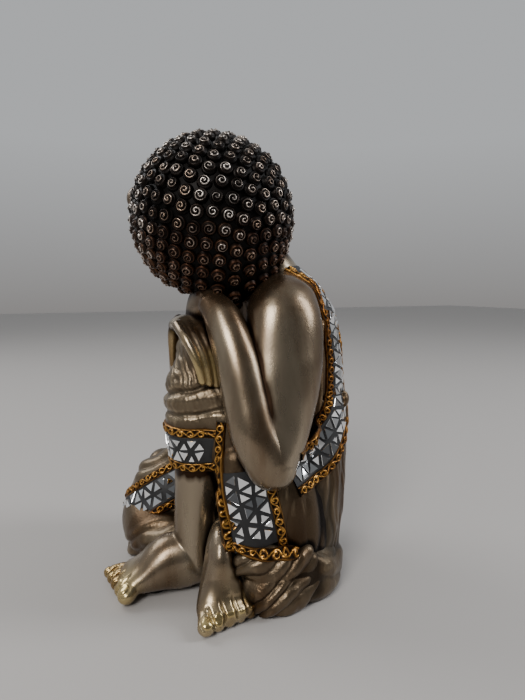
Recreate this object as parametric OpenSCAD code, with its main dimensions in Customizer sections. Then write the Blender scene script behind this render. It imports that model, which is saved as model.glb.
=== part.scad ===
/* [Figure] */
// Overall height of the seated figure
figure_h = 232; // [150:1:400]
// Thickness of the felt pads under the castings
felt_t = 1; // [0.5:0.1:2]
// Diameter of a felt pad
felt_d = 12; // [8:1:14]
// Diameter of the dowels that join the castings
dowel_d = 5; // [3:0.5:6]

/* [Head] */
// Radius of the hair cap, without the curls
hair_r = 40.2; // [39.6:0.1:40.6]
// Radius of the bare head under the hair cap
skull_r = 37; // [36:0.2:37.4]
// How far a curl stands out of the hair cap
curl_h = 2.6; // [1:0.1:3]

/* [Mirror bands] */
// Width of a band between its two trims
bed_w = 15; // [12:0.5:16]
// Width of a gold scroll trim
trim_w = 4.6; // [3:0.1:5]
// Side of a triangular mirror chip
chip_side = 5.6; // [4:0.1:5.7]
// Thickness of a mirror chip
chip_t = 1; // [0.8:0.1:1.4]

/* [Hidden] */
design_h = 232;
unit = figure_h / design_h;
middle = [-2.4, 8.6, 0];
bed_t = 1.6;
trim_t = 2.6;
sunk = 4;
cloth_t = 1.8;
up_y = [0, 1, 0];
up_z = [0, 0, 1];
up_x = [1, 0, 0];
skin_colour = [0.72, 0.66, 0.55];
cloth_colour = [0.36, 0.29, 0.22];
gold_colour = [0.75, 0.5, 0.2];
hair_colour = [0.16, 0.13, 0.12];
bed_colour = [0.08, 0.08, 0.09];
mirror_colour = [0.8, 0.84, 0.86];
steel_colour = [0.75, 0.75, 0.76];
felt_colour = [0.3, 0.3, 0.3];
round_fn = 40;
play = 0.2;

// Each key is x, y, z of a centre, then half the width and half the depth of the body there.
torso_keys = [
    [1, 45, 66, 36, 27],
    [0, 48, 100, 33, 26],
    [0, 46, 126, 33, 23],
    [0, 41, 144, 32, 19],
    [2, 36, 155, 24, 16],
    [4, 30, 164, 16, 13.5],
    [3, 22, 174, 13, 12]
];
hip_keys = [
    [4, 38, 22, 46, 28],
    [3, 41, 42, 44, 30],
    [2, 44, 60, 41, 29.5],
    [1, 47, 80, 37, 28.5],
    [0, 48, 92, 34.5, 27]
];
seat_keys = [
    [7, 33, 0, 45, 30],
    [7, 33, 7, 49, 34],
    [6, 34, 17, 48, 33],
    [5, 36, 26, 43, 27]
];
thigh_keys = [
    [29, 30, 26, 24, 24],
    [28, 23, 48, 24.5, 24.5],
    [21, 7, 78, 20, 20],
    [13, -7, 104, 17, 17]
];
knee_keys = [
    [12, -8, 112, 15, 15],
    [12, -10, 104, 17, 17],
    [13, -12, 94, 16, 16.5],
    [14, -12.5, 84, 14.8, 15],
    [14, -12, 70, 13.5, 13.5]
];
shin_keys = [
    [14, -12, 78, 11.6, 11.6],
    [14, -12, 60, 12, 12],
    [14, -14, 44, 10.2, 10.4],
    [14, -14.5, 30, 10.6, 11.4],
    [14, -14, 16, 10, 12]
];
foot_keys = [
    [15, -6, 11, 9.5, 9.5],
    [14, -16, 14.2, 11.5, 14],
    [11, -27, 14, 13, 14],
    [7, -38, 9.2, 15, 9],
    [4, -46.5, 6.2, 16, 5.8]
];
flat_thigh_keys = [
    [-14, 32, 26, 22, 24],
    [-28, 12, 31, 24, 27],
    [-38, -6, 33, 23, 24],
    [-39, -14, 32, 20, 21]
];
flat_shin_keys = [
    [-40, -14, 30, 19, 20],
    [-36, -23, 20, 19, 19],
    [-22, -26, 16, 16, 15],
    [-4, -18, 14, 13, 13]
];
flat_knee = [-39, -11, 33];
flat_knee_r = 25;
ankle_keys = [
    [-6, -19, 14, 9, 9],
    [10, -6, 15, 9, 10],
    [24, -4, 20, 8, 13],
    [32, -7, 23, 6.5, 18]
];
second_foot_keys = [
    [29, -6, 23, 6.5, 18],
    [35, -8, 21, 8, 18],
    [42, -10, 12.6, 10.5, 12],
    [48, -11, 8, 13, 7.5],
    [52.5, -11, 5.6, 14, 5]
];
upper_arm_keys = [
    [22, 33, 148, 13, 14],
    [31, 30, 142, 15, 17],
    [38, 27, 118, 14.5, 18],
    [45, 20, 91, 13, 15],
    [51, 12, 74, 12, 12.5]
];
forearm_keys = [
    [51, 10, 72, 11.8, 12],
    [48, 5, 86, 11.5, 11.5],
    [43, 3, 101, 11, 11],
    [37, 1, 120, 10.5, 11],
    [28, -2, 138, 10, 10],
    [21, -5, 145, 8.8, 8.5]
];
left_hand_keys = [
    [21, -5, 145, 8.8, 8],
    [14, -7, 145.5, 9.6, 6.2],
    [6, -8.5, 141.5, 10, 5.2],
    [0, -8.5, 131, 9.6, 4.6]
];
right_upper_arm_keys = [
    [-20, 36, 146, 13, 13],
    [-30, 31, 141, 15, 16],
    [-37, 26, 122, 13.5, 15],
    [-43, 16, 102, 12.5, 13],
    [-45, 6, 91, 12, 12]
];
right_forearm_keys = [
    [-45, 5, 91, 11.5, 11.5],
    [-37, -2, 104, 10.5, 10.5],
    [-25, -7, 118, 9, 9],
    [-15, -10, 127, 8, 7.5]
];
right_hand_keys = [
    [-15, -10, 127, 8, 7],
    [-4, -12, 133, 9.5, 5.5],
    [8, -13, 134.5, 10, 4.6],
    [17, -13, 131, 9.5, 4.4]
];

// Each key is x, y, z of the band's middle, then the way that it faces.
sash_keys = [
    [13, 44, 164, 0.35, 0.75, 0.55],
    [19, 53, 150, 0.5, 0.8, 0.3],
    [22.5, 61, 132, 0.55, 0.83, 0.1],
    [23, 65, 112, 0.6, 0.8, 0],
    [26.5, 65.5, 94, 0.68, 0.74, 0],
    [35, 57, 80, 0.82, 0.56, 0],
    [45, 41, 70, 0.93, 0.36, 0],
    [51, 24, 66, 1, 0, 0]
];
apron_keys = [
    [45, 3, 66, 0.86, -0.5, 0],
    [47.5, 5, 56, 0.86, -0.5, 0.05],
    [50, 7, 46, 0.86, -0.5, 0.05],
    [51, 9, 36, 0.86, -0.5, 0]
];
apron_trim_keys = [
    [29, -9, 90, 0.8, -0.6, 0],
    [32, -9, 78, 0.8, -0.6, 0],
    [37, -8, 64, 0.82, -0.57, 0],
    [43, -5, 50, 0.85, -0.52, 0],
    [46, -2, 38, 0.86, -0.5, 0.05],
    [49, 2, 32, 0.86, -0.5, 0.1],
    [54, 10, 29, 0.88, -0.45, 0.1],
    [57, 19, 28, 0.95, -0.3, 0.1]
];

// Way that the crown and the face of the head point
crown_way = way([-0.45, -0.85, 0.25]);
face_way = way(square_to([-0.95, 0.1, -0.25], crown_way));
head_left = cross(crown_way, face_way);
head_at = [-2, 2.5, 189.2];
taper_way = way([13, 2, -32]);
neck_way = way([6, 24, -24]);
taper_h = 8;

// ---- Vectors, curves and skins ----

function way(v) = v / norm(v);
function square_to(v, axis) = v - (v * axis) * axis;
function mix(a, b, share) = a + (b - a) * share;

// Smooth value through a list of keys, with t from 0 at the first key
function along(keys, t) =
    let (
        i = max(0, min(floor(t), len(keys) - 2)),
        u = t - i,
        start_slope = (keys[i + 1] - keys[max(i - 1, 0)]) / 2,
        end_slope = (keys[min(i + 2, len(keys) - 1)] - keys[i]) / 2
    )
    (2 * u^3 - 3 * u^2 + 1) * keys[i] + (u^3 - 2 * u^2 + u) * start_slope
    + (3 * u^2 - 2 * u^3) * keys[i + 1] + (u^3 - u^2) * end_slope;

function place(keys, t) = let (k = along(keys, t)) [k[0], k[1], k[2]];

function heading(keys, t) =
    let (last = len(keys) - 1)
    way(place(keys, min(t + 0.02, last)) - place(keys, max(t - 0.02, 0)));

function ring_at(centre, side, top, half_w, half_d, sides) =
    [for (j = [0:sides - 1])
        centre + side * half_w * cos(360 * j / sides) + top * half_d * sin(360 * j / sides)];

// One ring of a limb. pull moves it along the limb and size shrinks it, for a rounded end.
function limb_ring(keys, up, t, grow, pull, size, sides) =
    let (
        k = along(keys, t),
        ahead = heading(keys, t),
        side = way(cross(up, ahead)),
        top = cross(ahead, side)
    )
    ring_at(place(keys, t) + ahead * pull, side, top, (k[3] + grow) * size, (k[4] + grow) * size, sides);

// Rings of a limb through its keys, with round ends where round is 1
function limb_rings(keys, up, grow, sides, steps, round) =
    let (
        last = len(keys) - 1,
        start_r = min(keys[0][3], keys[0][4]) + grow,
        end_r = min(keys[last][3], keys[last][4]) + grow,
        bends = sides > 8 ? [75, 38] : [55]
    )
    concat(
        [for (a = bends) if (round) limb_ring(keys, up, 0, grow, -start_r * sin(a), cos(a), sides)],
        [for (k = [0:steps * last]) limb_ring(keys, up, k / steps, grow, 0, 1, sides)],
        [for (i = [len(bends) - 1:-1:0]) if (round)
            limb_ring(keys, up, last, grow, end_r * sin(bends[i]), cos(bends[i]), sides)]
    );

// Closed solid over a list of rings with equal numbers of points
module skin(rings, closed = false) {
    n = len(rings[0]);
    m = len(rings);
    walls = [for (k = [0:closed ? m - 1 : m - 2], j = [0:n - 1])
        let (a = k * n, b = ((k + 1) % m) * n, next = (j + 1) % n)
        each [[a + j, b + j, b + next], [a + j, b + next, a + next]]];
    ends = closed ? [] : [[for (j = [0:n - 1]) j], [for (j = [n - 1:-1:0]) (m - 1) * n + j]];
    polyhedron(points = [for (ring = rings) each ring], faces = concat(walls, ends));
}

module limb(keys, up = up_z, grow = 0, sides = 16, steps = 1, round = 1) {
    skin(limb_rings(keys, up, grow, sides, steps, round));
}

// A short limb of one thickness between two points, such as a toe or a finger
module digit(from, to, from_r, to_r, sides = 6) {
    keys = [concat(from, [from_r, from_r]), concat(to, [to_r, to_r])];
    limb(keys, up = up_z, sides = sides, steps = 1);
}

// Frame of a band at t: its middle, the way across it and the way it faces
function band_frame(keys, t) =
    let (
        k = along(keys, t),
        ahead = heading(keys, t),
        face = way(square_to([k[3], k[4], k[5]], ahead))
    )
    [place(keys, t), cross(face, ahead), face];

function band_frames(keys, steps) =
    [for (k = [0:steps * (len(keys) - 1)]) band_frame(keys, k / steps)];

// Frames of a band that runs right round a limb, where lean tips its ring
function hoop_frames(centre, axis, start, half_w, half_d, count) =
    let (
        up = way(axis),
        side = way(square_to(start, up)),
        top = cross(up, side)
    )
    [for (k = [0:count - 1])
        let (
            a = -360 * k / count,
            out = way(side * cos(a) / half_w + top * sin(a) / half_d)
        )
        [centre + side * half_w * cos(a) + top * half_d * sin(a), up, out]];

// A strip that follows a band's frames, from one side place to another and from one depth to another.
// bow is the radius that the strip is bent to across its width, or 0 for a flat strip.
module strip(frames, side_from, side_to, low, high, bow = 26, closed = false) {
    cuts = bow ? 2 : 1;
    bend = bow ? 1 / bow : 0;
    across = [for (i = [0:cuts]) mix(side_from, side_to, i / cuts)];
    skin(
        [for (f = frames) concat(
            [for (u = across) f[0] + f[1] * u * (1 + low * bend) + f[2] * (low - u * u / 2 * bend)],
            [for (i = [cuts:-1:0]) f[0] + f[1] * across[i] * (1 + high * bend)
                + f[2] * (high - across[i] * across[i] / 2 * bend)]
        )],
        closed
    );
}

// Triangular chips in two rows along a band, each turned a little more than the last
module chips(frames, row_gap, lift, bow = 26) {
    for (k = [0:len(frames) - 1], row = [-1, 1]) {
        f = frames[k];
        out = f[2];
        side = f[1];
        ahead = cross(side, out);
        turn = 60 * ((k + (row + 1) / 2) % 2) + 6 * sin(137 * k + 70 * row);
        at = f[0] + side * row * row_gap + out * (lift - row_gap * row_gap / 2 / bow);
        multmatrix([
            [ahead[0], side[0], out[0], at[0]],
            [ahead[1], side[1], out[1], at[1]],
            [ahead[2], side[2], out[2], at[2]]
        ])
            rotate([-row * row_gap / bow * 57.3, 0, turn])
                linear_extrude(chip_t)
                    circle(r = chip_side / sqrt(3) * 0.93, $fn = 3);
    }
}

// Frames spaced one chip apart along a band
function spaced_frames(keys, pitch, from, to) =
    let (
        fine = 40,
        steps = [for (k = [from * fine:to * fine - 1])
            norm(place(keys, (k + 1) / fine) - place(keys, k / fine))],
        run = [for (k = 0, s = 0; k < len(steps); s = s + steps[k], k = k + 1) s]
    )
    [for (k = [0:len(run) - 2])
        if (floor(run[k] / pitch) != floor(run[k + 1] / pitch)) band_frame(keys, from + k / fine)];

// ---- Forms of the body, which the sub-parts are cut from ----

// Scales the design and moves the middle of its footprint to the origin
module stand() {
    scale(unit) translate(-middle) children();
}

module above_felt() {
    translate([-200, -200, felt_t]) cube([400, 400, 400]);
}

module torso_form(grow = 0) {
    limb(torso_keys, up = up_y, grow = grow, sides = 18);
}

module hip_form(grow = 0) {
    limb(hip_keys, up = up_y, grow = grow, sides = 18, round = 0);
}

module seat_form() {
    limb(seat_keys, up = up_y, sides = 18, round = 0);
}

module thigh_form() {
    limb(thigh_keys, up = up_x);
}

module knee_form() {
    limb(knee_keys, up = up_x);
}

module shin_form() {
    limb(shin_keys, up = up_x, sides = 14, round = 0);
}

module flat_leg_limbs() {
    limb(flat_thigh_keys);
    limb(flat_shin_keys);
}

module flat_leg_form() {
    flat_leg_limbs();
    translate(flat_knee) sphere(flat_knee_r, $fn = 20);
}

module upper_arm_form() {
    limb(upper_arm_keys, up = up_y, steps = 2);
}

module forearm_form() {
    limb(forearm_keys, up = up_y, sides = 14, steps = 2);
}

module left_arm_form() {
    upper_arm_form();
    forearm_form();
}

module right_arm_form() {
    limb(right_upper_arm_keys, up = up_y, sides = 14, steps = 2);
    limb(right_forearm_keys, sides = 14, steps = 2);
}

module toes(from_near, from_far, to_near, to_far, near_r, far_r) {
    for (i = [0:4]) {
        share = i / 4;
        r = mix(near_r, far_r, share);
        from = mix(from_near, from_far, share);
        to = mix(to_near, to_far, share);
        digit([from[0], from[1], r + 2.4], [to[0], to[1], r + 0.6], r, r * 0.95);
    }
}

module raised_foot_form() {
    limb(foot_keys, sides = 14, steps = 2);
    toes([15, -45], [-7, -47], [18, -50.5], [-10, -55.5], 4, 2.9);
}

module second_foot_form() {
    limb(second_foot_keys, sides = 14, steps = 2);
    toes([51, -21.1], [50, -1.3], [57, -22.7], [53, 1], 3.4, 2.7);
}

module left_hand_form() {
    limb(left_hand_keys, sides = 12);
    for (i = [0:3])
        digit([-1.6, -16.9 + i * 4.6, 131.4], [-7, -17.5 + i * 4.4, 113 + i * 1.5], 2.8, 2.1);
    digit([8, -3, 143], [-4, 3, 138], 3.4, 2.6);
}

module right_hand_form() {
    limb(right_hand_keys, sides = 12);
    for (i = [0:3])
        limb([
            [15, -21 + i * 5, 132.5, 2.6, 2.6],
            [23, -19.5 + i * 4.4, 127, 2.5, 2.5],
            [29.5, -14 + i * 3.6, 112 - i, 2.1, 2.1]
        ], up = up_y, sides = 8);
}

module legs_form() {
    thigh_form();
    knee_form();
    shin_form();
    raised_foot_form();
    flat_leg_form();
}

// ---- Head ----

module in_head() {
    multmatrix([
        [head_left[0], -face_way[0], crown_way[0], head_at[0]],
        [head_left[1], -face_way[1], crown_way[1], head_at[1]],
        [head_left[2], -face_way[2], crown_way[2], head_at[2]]
    ])
        children();
}

// Distance of the hair's surface from the middle of the head in one direction
function hair_reach(d, r) = r + taper_h * pow(max(0, d * taper_way), 7);

// True where hair grows: outside the face's oval, clear of the ears and above the neck
function is_hair(d) =
    let (x = d * head_left * hair_r, y = -d * face_way * hair_r, z = d * crown_way * hair_r)
    (y > -4 || pow(x / 27, 2) + pow((z + 6) / 30, 2) > 1.25 && z > -22)
    && !(abs(x) > 27 && abs(y + 6) < 11 && z > -24 && z < 7)
    && d * neck_way < 0.94;

// Skin of the hair about the crown's axis, with every other point raised as a curl where bumps is 1
module hair_form(r, bumps = 0) {
    rows = bumps ? 22 : 9;
    sides = bumps ? 36 : 18;
    skin([for (i = [0:rows])
        let (tilt = mix(-84, 84, i / rows))
        [for (j = [0:sides - 1])
            let (
                a = 360 * j / sides,
                d = cos(tilt) * cos(a) * head_left + cos(tilt) * sin(a) * cross(crown_way, head_left)
                    + sin(tilt) * crown_way,
                gap = cos(tilt) > 0.55 ? 2 : 4,
                curl = bumps && i % 2 == 0 && (j + i / 2 % 2 * gap / 2) % gap == 0 && is_hair(d)
            )
            head_at + d * (hair_reach(d, r) + (curl ? curl_h : 0))]]);
}

module face_opening() {
    in_head()
        hull() {
            translate([0, -34, -6]) scale([1, 0.8, 1.25]) sphere(24, $fn = 24);
            translate([0, -60, -10]) scale([1, 0.8, 1.2]) sphere(27, $fn = 24);
            translate([0, -34, -44]) sphere(22, $fn = 20);
        }
    in_head()
        for (s = [-1, 1])
            translate([s * 39, -8, -8]) scale([0.7, 1, 1.7]) sphere(9, $fn = 20);
}

module ear() {
    hull() {
        translate([0, 2, 8]) scale([0.5, 1, 1]) sphere(6, $fn = 10);
        translate([0, -1, -4]) scale([0.5, 1, 1]) sphere(4.4, $fn = 8);
    }
    hull() {
        translate([0, -1, -6]) scale([0.6, 1, 1]) sphere(4, $fn = 8);
        translate([0.6, -3, -17]) scale([0.6, 1, 1]) sphere(3.4, $fn = 8);
    }
}

module face_form() {
    hull() {
        translate([0, -7, -2]) scale([1, 0.92, 1]) sphere(33, $fn = 18);
        translate([0, -16, -31]) scale([1, 0.9, 0.8]) sphere(13, $fn = 14);
    }
    hull() {
        translate([0, -37, 6]) sphere(2.6, $fn = 10);
        translate([0, -41.5, -9]) sphere(3.4, $fn = 10);
    }
    for (s = [-1, 1]) {
        translate([s * 3.6, -38.6, -10]) sphere(2.6, $fn = 8);
        translate([s * 12.5, -31.5, 2]) scale([1.35, 0.7, 0.75]) sphere(5.4, $fn = 12);
        translate([s * 35, -6, -4]) rotate([0, s * 16, s * 12]) ear();
    }
    translate([0, -33, -17.5]) scale([2.1, 0.9, 0.62]) sphere(3.4, $fn = 13);
    translate([0, -31.6, -21.6]) scale([1.6, 1, 0.75]) sphere(3.4, $fn = 13);
    translate([0, -26.5, -33]) scale([1.2, 0.9, 0.9]) sphere(6.4, $fn = 14);
}

module head_form() {
    hair_form(skull_r);
    in_head() face_form();
}

// ---- Dowels ----

module between_dowels(from, to, d) {
    axis = to - from;
    across = norm([axis[0], axis[1]]);
    translate(from)
        rotate([0, atan2(across, axis[2]), atan2(axis[1], axis[0])])
            cylinder(h = norm(axis), d = d, $fn = round_fn);
}
neck_pin = [[4, 30, 160], [1, 6, 194]];
arm_pins = [[[14, 38, 140], [31, 32, 141]], [[-12, 39, 140], [-29, 34, 140]]];
foot_pins = [[[14.5, -12.4, 60], [13.4, -11.2, 100]], [[16, -6, 16], [36, -8, 17]]];

module dowel_holes() {
    between_dowels(neck_pin[0], neck_pin[1], dowel_d);
    for (p = concat(arm_pins, foot_pins)) between_dowels(p[0], p[1], dowel_d);
}

// ---- Bands ----

knee_cuff_at = [14, -11.7, 76.9];
knee_cuff_r = 14.5;
leg_cuff_at = [-39, -11, 33];
leg_cuff_way = [0.48, 0.3, -0.81];
leg_cuff_r = 25.6;
knee_hoop = hoop_frames(knee_cuff_at, [0.06, -0.04, 1], [1, 0, 0], knee_cuff_r, knee_cuff_r, 18);
leg_hoop = hoop_frames(leg_cuff_at, leg_cuff_way, [0, 0.2, 1], leg_cuff_r, leg_cuff_r, 16);
knee_chips = hoop_frames(knee_cuff_at, [0.06, -0.04, 1], [1, 0, 0], knee_cuff_r, knee_cuff_r, 14);
leg_chips = hoop_frames(leg_cuff_at, leg_cuff_way, [0, 0, 1], leg_cuff_r, leg_cuff_r, 24);
chip_row = chip_side * 0.57;
chip_pitch = chip_side * 1.2;
knee_bed_half = 6.5;
leg_bed_half = 7;

module knee_band(side_from, side_to, high) {
    strip(knee_hoop, side_from, side_to, -3, high, bow = 0, closed = true);
}

module leg_band(side_from, side_to, high) {
    strip(leg_hoop, side_from, side_to, 0, high, bow = flat_knee_r, closed = true);
}

module sash_band(side_from, side_to, high) {
    strip(band_frames(sash_keys, 4), side_from, side_to, -sunk, high);
}

module apron_band(side_from, side_to, high) {
    strip(band_frames(apron_keys, 3), side_from, side_to, -sunk, high);
}

module apron_trim_band(high) {
    strip(band_frames(apron_trim_keys, 3), -trim_w / 2, trim_w / 2, -sunk, high);
}

// ---- Sub-parts ----

module torso() {
    color(skin_colour) resize([0, 0, 0]) stand() difference() {
        torso_form();
        hip_form();
        dowel_holes();
    }
}

module robe() {
    color(cloth_colour) resize([0, 0, 0]) stand() difference() {
        intersection() {
            union() {
                torso_form(cloth_t);
                limb([for (k = [0:2]) right_upper_arm_keys[k]], up = up_y, grow = cloth_t, sides = 14);
            }
            translate([22, 70, 88]) rotate([0, 0, 40]) translate([-140, -100, 0]) cube([140, 160, 76]);
        }
        torso_form();
        hip_form();
        right_arm_form();
        sash_band(-bed_w / 2 - trim_w, bed_w / 2 + trim_w, trim_t);
    }
}

module hip_cloth() {
    color(cloth_colour) resize([0, 0, 0]) stand() difference() {
        hip_form();
        seat_form();
        legs_form();
        left_arm_form();
    }
}

module seat_fold() {
    color(cloth_colour) resize([0, 0, 0]) stand() intersection() {
        above_felt();
        difference() {
            seat_form();
            legs_form();
            limb(ankle_keys, sides = 12, steps = 2);
            second_foot_form();
        }
    }
}

module drapery_form() {
    limb([[49, -3, 24, 3, 5], [52, 5, 24, 6, 8], [52, 17, 22, 7, 9], [53, 28, 22, 4, 6]], sides = 10);
    limb([[50.7, 1.5, 13, 3, 7], [54, 8, 10, 6, 10], [54, 20, 9, 6, 9], [53, 32, 11, 4, 6]], sides = 10);
}

module side_drapery() {
    color(cloth_colour) resize([0, 0, 0]) stand() intersection() {
        above_felt();
        difference() {
            drapery_form();
            seat_form();
            hip_form();
            legs_form();
            second_foot_form();
        }
    }
}

module raised_knee_cloth() {
    color(cloth_colour) resize([0, 0, 0]) stand() difference() {
        union() {
            thigh_form();
            knee_form();
        }
        torso_form();
        seat_form();
        shin_form();
        flat_leg_form();
        between_dowels(foot_pins[0][0], foot_pins[0][1], dowel_d);
    }
}

module spread_hem_form() {
    hull() {
        translate([-44, -35, 2]) sphere(7, $fn = 12);
        translate([-28, -40, 2]) sphere(6, $fn = 12);
        translate([-14, -33, 2]) sphere(6, $fn = 12);
        translate([-30, -20, 8]) sphere(12, $fn = 12);
    }
}

module flat_leg_cloth() {
    color(cloth_colour) resize([0, 0, 0]) stand() intersection() {
        above_felt();
        difference() {
            union() {
                flat_leg_form();
                spread_hem_form();
            }
            torso_form();
            raised_foot_form();
            shin_form();
        }
    }
}

module raised_leg() {
    color(skin_colour) resize([0, 0, 0]) stand() intersection() {
        above_felt();
        difference() {
            union() {
                shin_form();
                raised_foot_form();
            }
            between_dowels(foot_pins[0][0], foot_pins[0][1], dowel_d);
            between_dowels(foot_pins[1][0], foot_pins[1][1], dowel_d);
        }
    }
}

module second_foot() {
    color(skin_colour) resize([0, 0, 0]) stand() intersection() {
        above_felt();
        difference() {
            union() {
                second_foot_form();
                limb(ankle_keys, sides = 12, steps = 2);
            }
            flat_leg_form();
            shin_form();
            raised_foot_form();
            between_dowels(foot_pins[1][0], foot_pins[1][1], dowel_d);
        }
    }
}

module left_arm() {
    color(skin_colour) resize([0, 0, 0]) stand() difference() {
        left_arm_form();
        torso_form();
        thigh_form();
        knee_form();
        hair_form(hair_r);
        dowel_holes();
    }
}

module left_hand() {
    color(skin_colour) resize([0, 0, 0]) stand() difference() {
        left_hand_form();
        left_arm_form();
        knee_form();
        right_hand_form();
        hair_form(hair_r);
    }
}

module right_arm() {
    color(skin_colour) resize([0, 0, 0]) stand() difference() {
        right_arm_form();
        torso_form();
        knee_form();
        head_form();
        dowel_holes();
    }
}

module right_hand() {
    color(skin_colour) resize([0, 0, 0]) stand() difference() {
        right_hand_form();
        right_arm_form();
        left_arm_form();
        knee_form();
        thigh_form();
        hair_form(hair_r);
    }
}

module head() {
    color(skin_colour) resize([0, 0, 0]) stand() difference() {
        head_form();
        torso_form();
        left_arm_form();
        crown_knob_form();
        dowel_holes();
    }
}

module hair_cap() {
    color(hair_colour) resize([0, 0, 0]) stand() difference() {
        hair_form(hair_r, bumps = 1);
        face_opening();
        head_form();
        torso_form();
        left_arm_form();
        crown_knob_form();
    }
}

module crown_knob_form() {
    translate(head_at + crown_way * (hair_r - 1)) sphere(7, $fn = 16);
}

module crown_knob() {
    color(hair_colour) stand() crown_knob_form();
}

module knee_cuff_bed() {
    color(bed_colour) resize([0, 0, 0]) stand() difference() {
        knee_band(-knee_bed_half, knee_bed_half, bed_t);
        knee_form();
        shin_form();
        thigh_form();
        forearm_form();
    }
}

module knee_cuff_trims() {
    color(gold_colour) resize([0, 0, 0]) stand() difference() {
        for (s = [-1, 1])
            knee_band(s * (knee_bed_half + trim_w / 2) - trim_w / 2, s * (knee_bed_half + trim_w / 2) + trim_w / 2,
                trim_t);
        knee_form();
        shin_form();
        thigh_form();
        forearm_form();
        apron_trim_band(trim_t);
    }
}

module knee_cuff_mirrors() {
    color(mirror_colour) stand() chips([for (f = knee_chips) if (f[0][1] < -9) f], chip_row, bed_t);
}

module leg_cuff_bed() {
    color(bed_colour) resize([0, 0, 0]) stand() intersection() {
        above_felt();
        difference() {
            leg_band(-leg_bed_half, leg_bed_half, bed_t);
            flat_leg_limbs();
            spread_hem_form();
            shin_form();
            raised_foot_form();
            hip_form();
            thigh_form();
        }
    }
}

module leg_cuff_trims() {
    color(gold_colour) resize([0, 0, 0]) stand() intersection() {
        above_felt();
        difference() {
            for (s = [-1, 1])
                leg_band(s * (leg_bed_half + trim_w / 2) - trim_w / 2, s * (leg_bed_half + trim_w / 2) + trim_w / 2,
                    trim_t);
            flat_leg_limbs();
            spread_hem_form();
            shin_form();
            raised_foot_form();
            hip_form();
            thigh_form();
        }
    }
}

module leg_cuff_mirrors() {
    color(mirror_colour) stand() chips([for (f = leg_chips) if (f[0][1] < 0 && f[0][2] > 16) f], chip_row, bed_t);
}

module sash_bed() {
    color(bed_colour) resize([0, 0, 0]) stand() difference() {
        sash_band(-bed_w / 2, bed_w / 2, bed_t);
        torso_form();
        hip_form();
        thigh_form();
        left_arm_form();
        hair_form(hair_r);
        sash_knot_form();
    }
}

module sash_trim(side) {
    color(gold_colour) resize([0, 0, 0]) stand() difference() {
        sash_band(side * (bed_w + trim_w) / 2 - trim_w / 2, side * (bed_w + trim_w) / 2 + trim_w / 2, trim_t);
        torso_form();
        hip_form();
        thigh_form();
        left_arm_form();
        hair_form(hair_r);
        sash_knot_form();
    }
}

module sash_outer_trim() {
    sash_trim(-1);
}

module sash_inner_trim() {
    sash_trim(1);
}

module sash_mirrors() {
    color(mirror_colour) stand() chips(spaced_frames(sash_keys, chip_pitch, 0.3, 6.2), chip_row, bed_t);
}

module sash_knot_form() {
    translate([23, 66.5, 93]) scale([1.1, 0.7, 1]) sphere(6, $fn = 18);
}

module sash_knot() {
    color(cloth_colour) resize([0, 0, 0]) stand() difference() {
        sash_knot_form();
        torso_form();
        hip_form();
    }
}

module apron_bed() {
    color(bed_colour) resize([0, 0, 0]) stand() difference() {
        apron_band(-bed_w / 2, bed_w / 2, bed_t);
        hip_form();
        thigh_form();
        left_arm_form();
        drapery_form();
        apron_trim_band(trim_t);
    }
}

module apron_trim() {
    color(gold_colour) resize([0, 0, 0]) stand() difference() {
        union() {
            apron_trim_band(trim_t);
            apron_band(-bed_w / 2 - trim_w, -bed_w / 2, trim_t);
        }
        hip_form();
        thigh_form();
        knee_form();
        left_arm_form();
        second_foot_form();
        seat_form();
        drapery_form();
    }
}

module apron_mirrors() {
    color(mirror_colour) stand() chips(spaced_frames(apron_keys, chip_pitch, 0.2, 2.8), chip_row, bed_t);
}

module neck_dowel() {
    color(steel_colour) stand() between_dowels(neck_pin[0], neck_pin[1], dowel_d - play);
}

module arm_dowels() {
    color(steel_colour) stand() for (p = arm_pins) between_dowels(p[0], p[1], dowel_d - play);
}

module foot_dowels() {
    color(steel_colour) stand() for (p = foot_pins) between_dowels(p[0], p[1], dowel_d - play);
}

module felt_pads() {
    color(felt_colour) stand()
        for (at = [[10, 48], [-14, 44], [36, 36], [-30, -27], [8, -34], [45, -11]])
            translate([at[0], at[1], 0]) cylinder(h = felt_t, d = felt_d, $fn = round_fn);
}

torso();
robe();
hip_cloth();
seat_fold();
side_drapery();
raised_knee_cloth();
flat_leg_cloth();
raised_leg();
second_foot();
left_arm();
left_hand();
right_arm();
right_hand();
head();
hair_cap();
crown_knob();
knee_cuff_bed();
knee_cuff_trims();
knee_cuff_mirrors();
leg_cuff_bed();
leg_cuff_trims();
leg_cuff_mirrors();
sash_bed();
sash_outer_trim();
sash_inner_trim();
sash_mirrors();
sash_knot();
apron_bed();
apron_trim();
apron_mirrors();
neck_dowel();
arm_dowels();
foot_dowels();
felt_pads();
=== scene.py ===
"""Looks of the seated figure: sculpted castings, curls, mirror bands, materials, floor and light.

Lengths in the sculpting code are design millimetres, as in part.scad. place() turns them into the frame's metres.
"""

import math
import random

import bpy
import numpy as np
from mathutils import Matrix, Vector
from mathutils.bvhtree import BVHTree


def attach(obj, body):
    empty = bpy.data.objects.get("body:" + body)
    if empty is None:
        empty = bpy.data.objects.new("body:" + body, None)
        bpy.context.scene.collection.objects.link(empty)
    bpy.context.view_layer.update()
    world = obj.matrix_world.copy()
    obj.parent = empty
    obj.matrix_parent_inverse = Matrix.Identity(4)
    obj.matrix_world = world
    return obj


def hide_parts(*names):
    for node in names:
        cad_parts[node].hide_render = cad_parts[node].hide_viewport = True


MIDDLE = np.array([-2.4, 8.6, 0.0])
FELT_TOP = 1.0
EYE = (264.5, -87.8, 154)
UP_X, UP_Y, UP_Z = (1, 0, 0), (0, 1, 0), (0, 0, 1)
rng = random.Random(4)

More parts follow.
